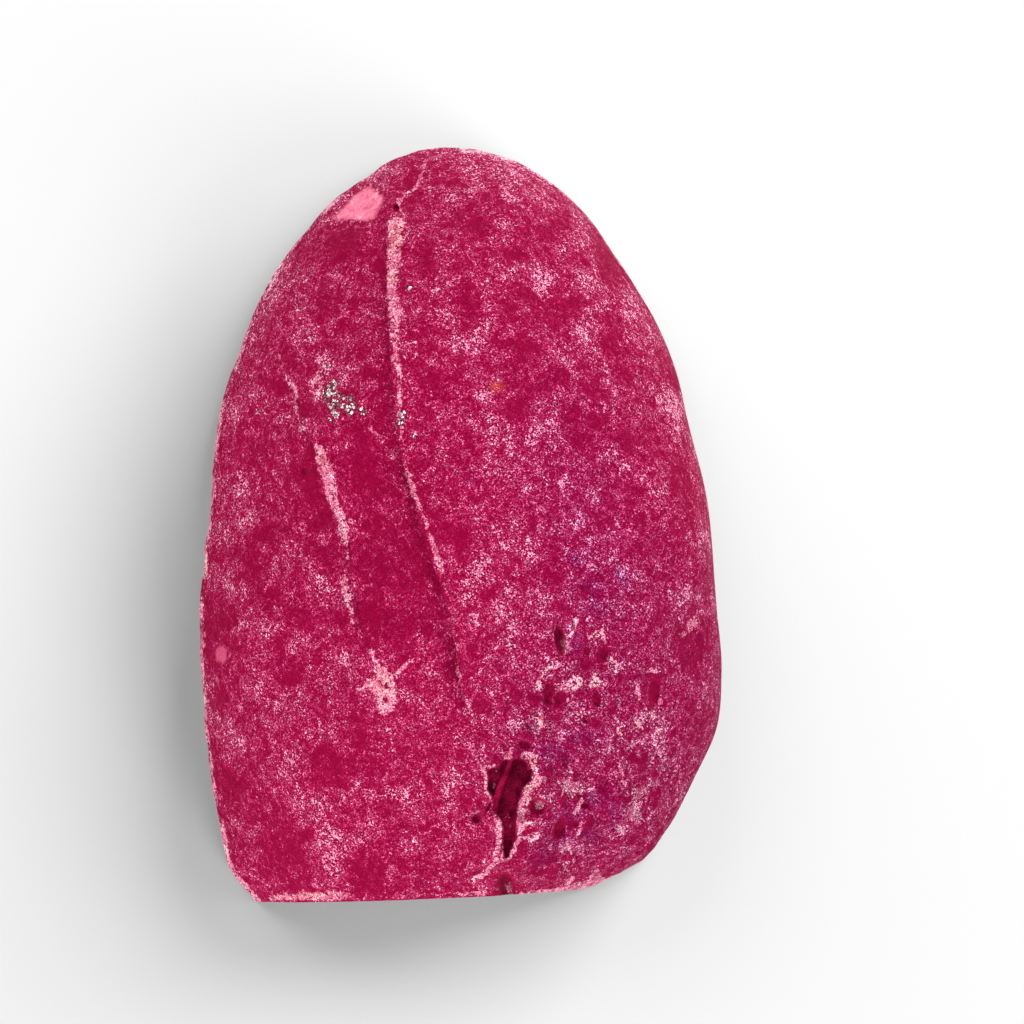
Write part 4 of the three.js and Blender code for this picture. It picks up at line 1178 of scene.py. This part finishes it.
# %% Crust: where it holds, and the dark pores in it
crust_grain, taken_in, given_out = new_group(
    "crust_grain", ["Position", "Crust"], ["Share", "Specks"]
)
position = taken_in["Position"]
flaking = grain(position, 0.8, detail=2.0, roughness=0.7, shift=41.0, twist=1.0)
share = scaled(flaking, 2.2, taken_in["Crust"])
feed(soft_step(share, 0.38, 0.68), given_out["Share"])
pores = grain(position, 0.7, detail=1.0, roughness=0.6, shift=53.0, twist=1.2)
feed(soft_step(pores, 0.07, 0.12), given_out["Specks"])
print("nodes in the crust:", len(crust_grain.nodes))

# %% Glints: white quartz grains painted as sparkles of light, with dark gaps between them
GRAINS_PER_MM = 2.3

glints, taken_in, given_out = new_group("glints", ["Position"], ["Bright", "Gap"])
cells = glints.nodes.new("ShaderNodeTexVoronoi")
gaps = glints.nodes.new("ShaderNodeTexVoronoi")
gaps.feature = "DISTANCE_TO_EDGE"
for texture in (cells, gaps):
    texture.inputs["Scale"].default_value = GRAINS_PER_MM
    feed(taken_in["Position"], texture.inputs["Vector"])
feed(soft_step(cells.outputs["Color"], 0.45, 0.75), given_out["Bright"])
feed(soft_step(gaps.outputs["Distance"], 0.16, 0.04), given_out["Gap"])
print("glints per mm:", GRAINS_PER_MM)

# %% [markdown]
# ## The dyed rind
# The colours are laid one over another, as on the stone: the dye with its frost, a painted sheen
# along the rim and painted shade in fine creases, then crust, then painted shade in the hollows,
# mauve sand, the chip and last the glints, painted as white sparkles. A tint multiplies what lies
# under it. The light that a crimson stone throws on pale paper would stain the paper pink, so
# the rind is plain grey for light that has already met the paper, and the paper stays neutral.

# %% Ways to start a material, lay colours and finish it
WHITE = (1, 1, 1, 1)
GREY_FOR_THE_PAPER = dye(110, 110, 110)


def new_material(name):
    """A material, with its tree, its shader's inputs and the position in millimetres."""
    material = bpy.data.materials.new(name)
    material.use_nodes = True
    tree = material.node_tree
    shader = tree.nodes["Principled BSDF"].inputs
    return material, tree, shader, use_group(tree, millimetres)["Position"]


def tinted(colour, tint):
    """A colour multiplied by another."""
    return blend(1.0, colour, tint, "MULTIPLY")


def finished(tree, shader, colour, roughness, specular):
    """Feeds the colour and the shine, with a grey for light that comes by way of the paper."""
    bounced = tree.nodes.new("ShaderNodeLightPath").outputs["Is Diffuse Ray"]
    feed(blend(bounced, colour, GREY_FOR_THE_PAPER), shader["Base Color"])
    feed(roughness, shader["Roughness"])
    feed(specular, shader["Specular IOR Level"])


# %% Dye and frost
rind_material, tree, shader, position = new_material("dyed rind")
grains = use_group(tree, dyed_grain, Position=position, Frost=painted(tree, "frost_and_rim_sheen"))
colour = colour_scale(grains["Amount"], [
    (0.0, 132, 0, 46), (0.17, 144, 4, 56), (0.33, 159, 22, 73), (0.45, 171, 41, 89),
    (0.56, 186, 64, 108), (0.73, 215, 107, 146), (0.9, 234, 146, 177), (1.0, 243, 174, 198),
])
colour = tinted(colour, blend(painted(tree, "magenta"), WHITE, (0.9, 0.97, 1.03, 1)))
violet_share = scaled(painted(tree, "violet"), 0.75)
colour = blend(violet_share, colour, (0.72, 0.75, 1.1, 1), "MULTIPLY")
speck_share = scaled(grains["Specks"], scaled(painted(tree, "grit"), 0.5, 0.45))
colour = blend(speck_share, colour, dye(96, 10, 40))
# Painted shade in the creases, strongest on the gritty side.
crease_shade_share = scaled(grains["CreaseShade"], scaled(painted(tree, "grit"), 0.4))
colour = blend(crease_shade_share, colour, dye(112, 6, 50))
print("rind: dye and frost,", len(tree.nodes), "nodes")

# %% Crust over the dye
crusted = use_group(tree, crust_grain, Position=position, Crust=painted(tree, "crust"))
crust_colour = colour_scale(grains["Amount"], [
    (0.0, 176, 66, 104), (0.2, 220, 118, 150), (0.45, 242, 160, 184), (0.8, 255, 212, 218),
])
crust_colour = tinted(crust_colour, blend(painted(tree, "cream"), WHITE, (1, 1.12, 0.88, 1)))
crust_colour = blend(crusted["Specks"], crust_colour, dye(120, 22, 56))
colour = blend(crusted["Share"], colour, crust_colour)
print("rind: and crust,", len(tree.nodes), "nodes")

# %% Painted shade in the hollows, mauve sand, an ochre spot and a smooth pale one
# Painted shade: the colour darkens towards a dark crimson in the cavity and the deep pits.
hollow_shade = painted(tree, "hollow_shade")
hollow_shade_colour = blend(scaled(grains["Amount"], -0.3, hollow_shade), dye(168, 8, 66), dye(108, 5, 40))
colour = blend(soft_step(hollow_shade, 0.05, 0.35), colour, hollow_shade_colour)
sandy_mauve = colour_scale(grains["Amount"], [
    (0.1, 150, 50, 90), (0.45, 198, 115, 145), (0.9, 235, 180, 195),
])
mauve_edge = scaled(grains["Amount"], 0.5, painted(tree, "mauve"))
colour = blend(scaled(soft_step(mauve_edge, 0.45, 0.95), 0.8), colour, sandy_mauve)
colour = blend(scaled(painted(tree, "ochre"), 0.8), colour, dye(190, 70, 50))
colour = blend(painted(tree, "smooth_pale"), colour, dye(200, 76, 112))
print("rind: and hollows,", len(tree.nodes), "nodes")

# %% The chip and the glints
chip_streaks = grain(position, 1.8, detail=3.0, roughness=0.7, shift=71.0, twist=1.2)
chip_colour = colour_scale(maths("ADD", chip_streaks, 0.5), [
    (0.3, 206, 74, 112), (0.45, 240, 116, 146), (0.62, 246, 140, 166), (0.7, 252, 178, 194),
])
colour = blend(painted(tree, "chip"), colour, chip_colour)
# Painted glints: bright sparkles of light on white quartz grains.
sparks = use_group(tree, glints, Position=position)
glint_colour = blend(sparks["Bright"], dye(150, 60, 80), dye(255, 240, 240))
glint_colour = blend(sparks["Gap"], glint_colour, dye(60, 20, 35))
spark_edge = scaled(grains["Amount"], 0.3, painted(tree, "sparkle"))
colour = blend(soft_step(spark_edge, 0.4, 0.5), colour, glint_colour)
print("rind: and glints,", len(tree.nodes), "nodes")

# %% Shade and relief of the grain
BUMP_HEIGHT = 0.25

evenness = scaled(maths("ADD", crusted["Share"], painted(tree, "chip"), clamp=True), 0.6)
colour = tinted(colour, blend(evenness, grains["Shade"], WHITE))
finished(tree, shader, colour, roughness=0.7, specular=0.03)
bump = tree.nodes.new("ShaderNodeBump")
feed(0.35, bump.inputs["Strength"])
feed(BUMP_HEIGHT * MM, bump.inputs["Distance"])
feed(grains["Height"], bump.inputs["Height"])
feed(bump.outputs["Normal"], shader["Normal"])
print("rind: finished,", len(tree.nodes), "nodes")

# %% [markdown]
# ## The sawn faces
# A sawn face shows the agate's own bands, ring inside ring. They are colour only: one colour
# scale over the depth that the fans carry, which noise makes wander, with a fine ripple on it.
# The main face is polished, and the base is left as the saw made it.

# %% Agate bands
bands, taken_in, given_out = new_group("bands", ["Position", "Depth"], ["Color"])
wander = grain(taken_in["Position"], 22.0, detail=3.0, roughness=0.55)
depth = scaled(wander, 0.32, taken_in["Depth"])
depth = scaled(maths("SINE", scaled(depth, 95.0)), 0.008, depth)
band_colour = colour_scale(depth, [
    (0.0, 225, 190, 200), (0.22, 205, 150, 170), (0.34, 240, 200, 212), (0.4, 200, 60, 115),
    (0.5, 235, 150, 180), (0.56, 165, 15, 70), (0.68, 220, 90, 140), (0.74, 150, 8, 60),
    (0.86, 200, 50, 105), (0.92, 140, 4, 52), (1.0, 170, 40, 85),
])
feed(band_colour, given_out["Color"])


def sawn_material(name, roughness, specular):
    """Banded agate, cut flat."""
    material, tree, shader, position = new_material(name)
    banded = use_group(tree, bands, Position=position, Depth=painted(tree, "depth"))
    finished(tree, shader, banded["Color"], roughness, specular)
    return material


stone_mesh.materials.append(rind_material)
stone_mesh.materials.append(sawn_material("polished sawn face", 0.12, 0.5))
stone_mesh.materials.append(sawn_material("sawn base", 0.55, 0.3))
print("materials:", [material.name for material in stone_mesh.materials])

# %% [markdown]
# ## Place it
# The stone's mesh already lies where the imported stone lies, so its object stays at the origin.
# It rides on the part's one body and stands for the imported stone, which is hidden.

# %% Place it
lit_groups["stone"].objects.link(stone)
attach(stone, "root")
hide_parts("agate_stone")
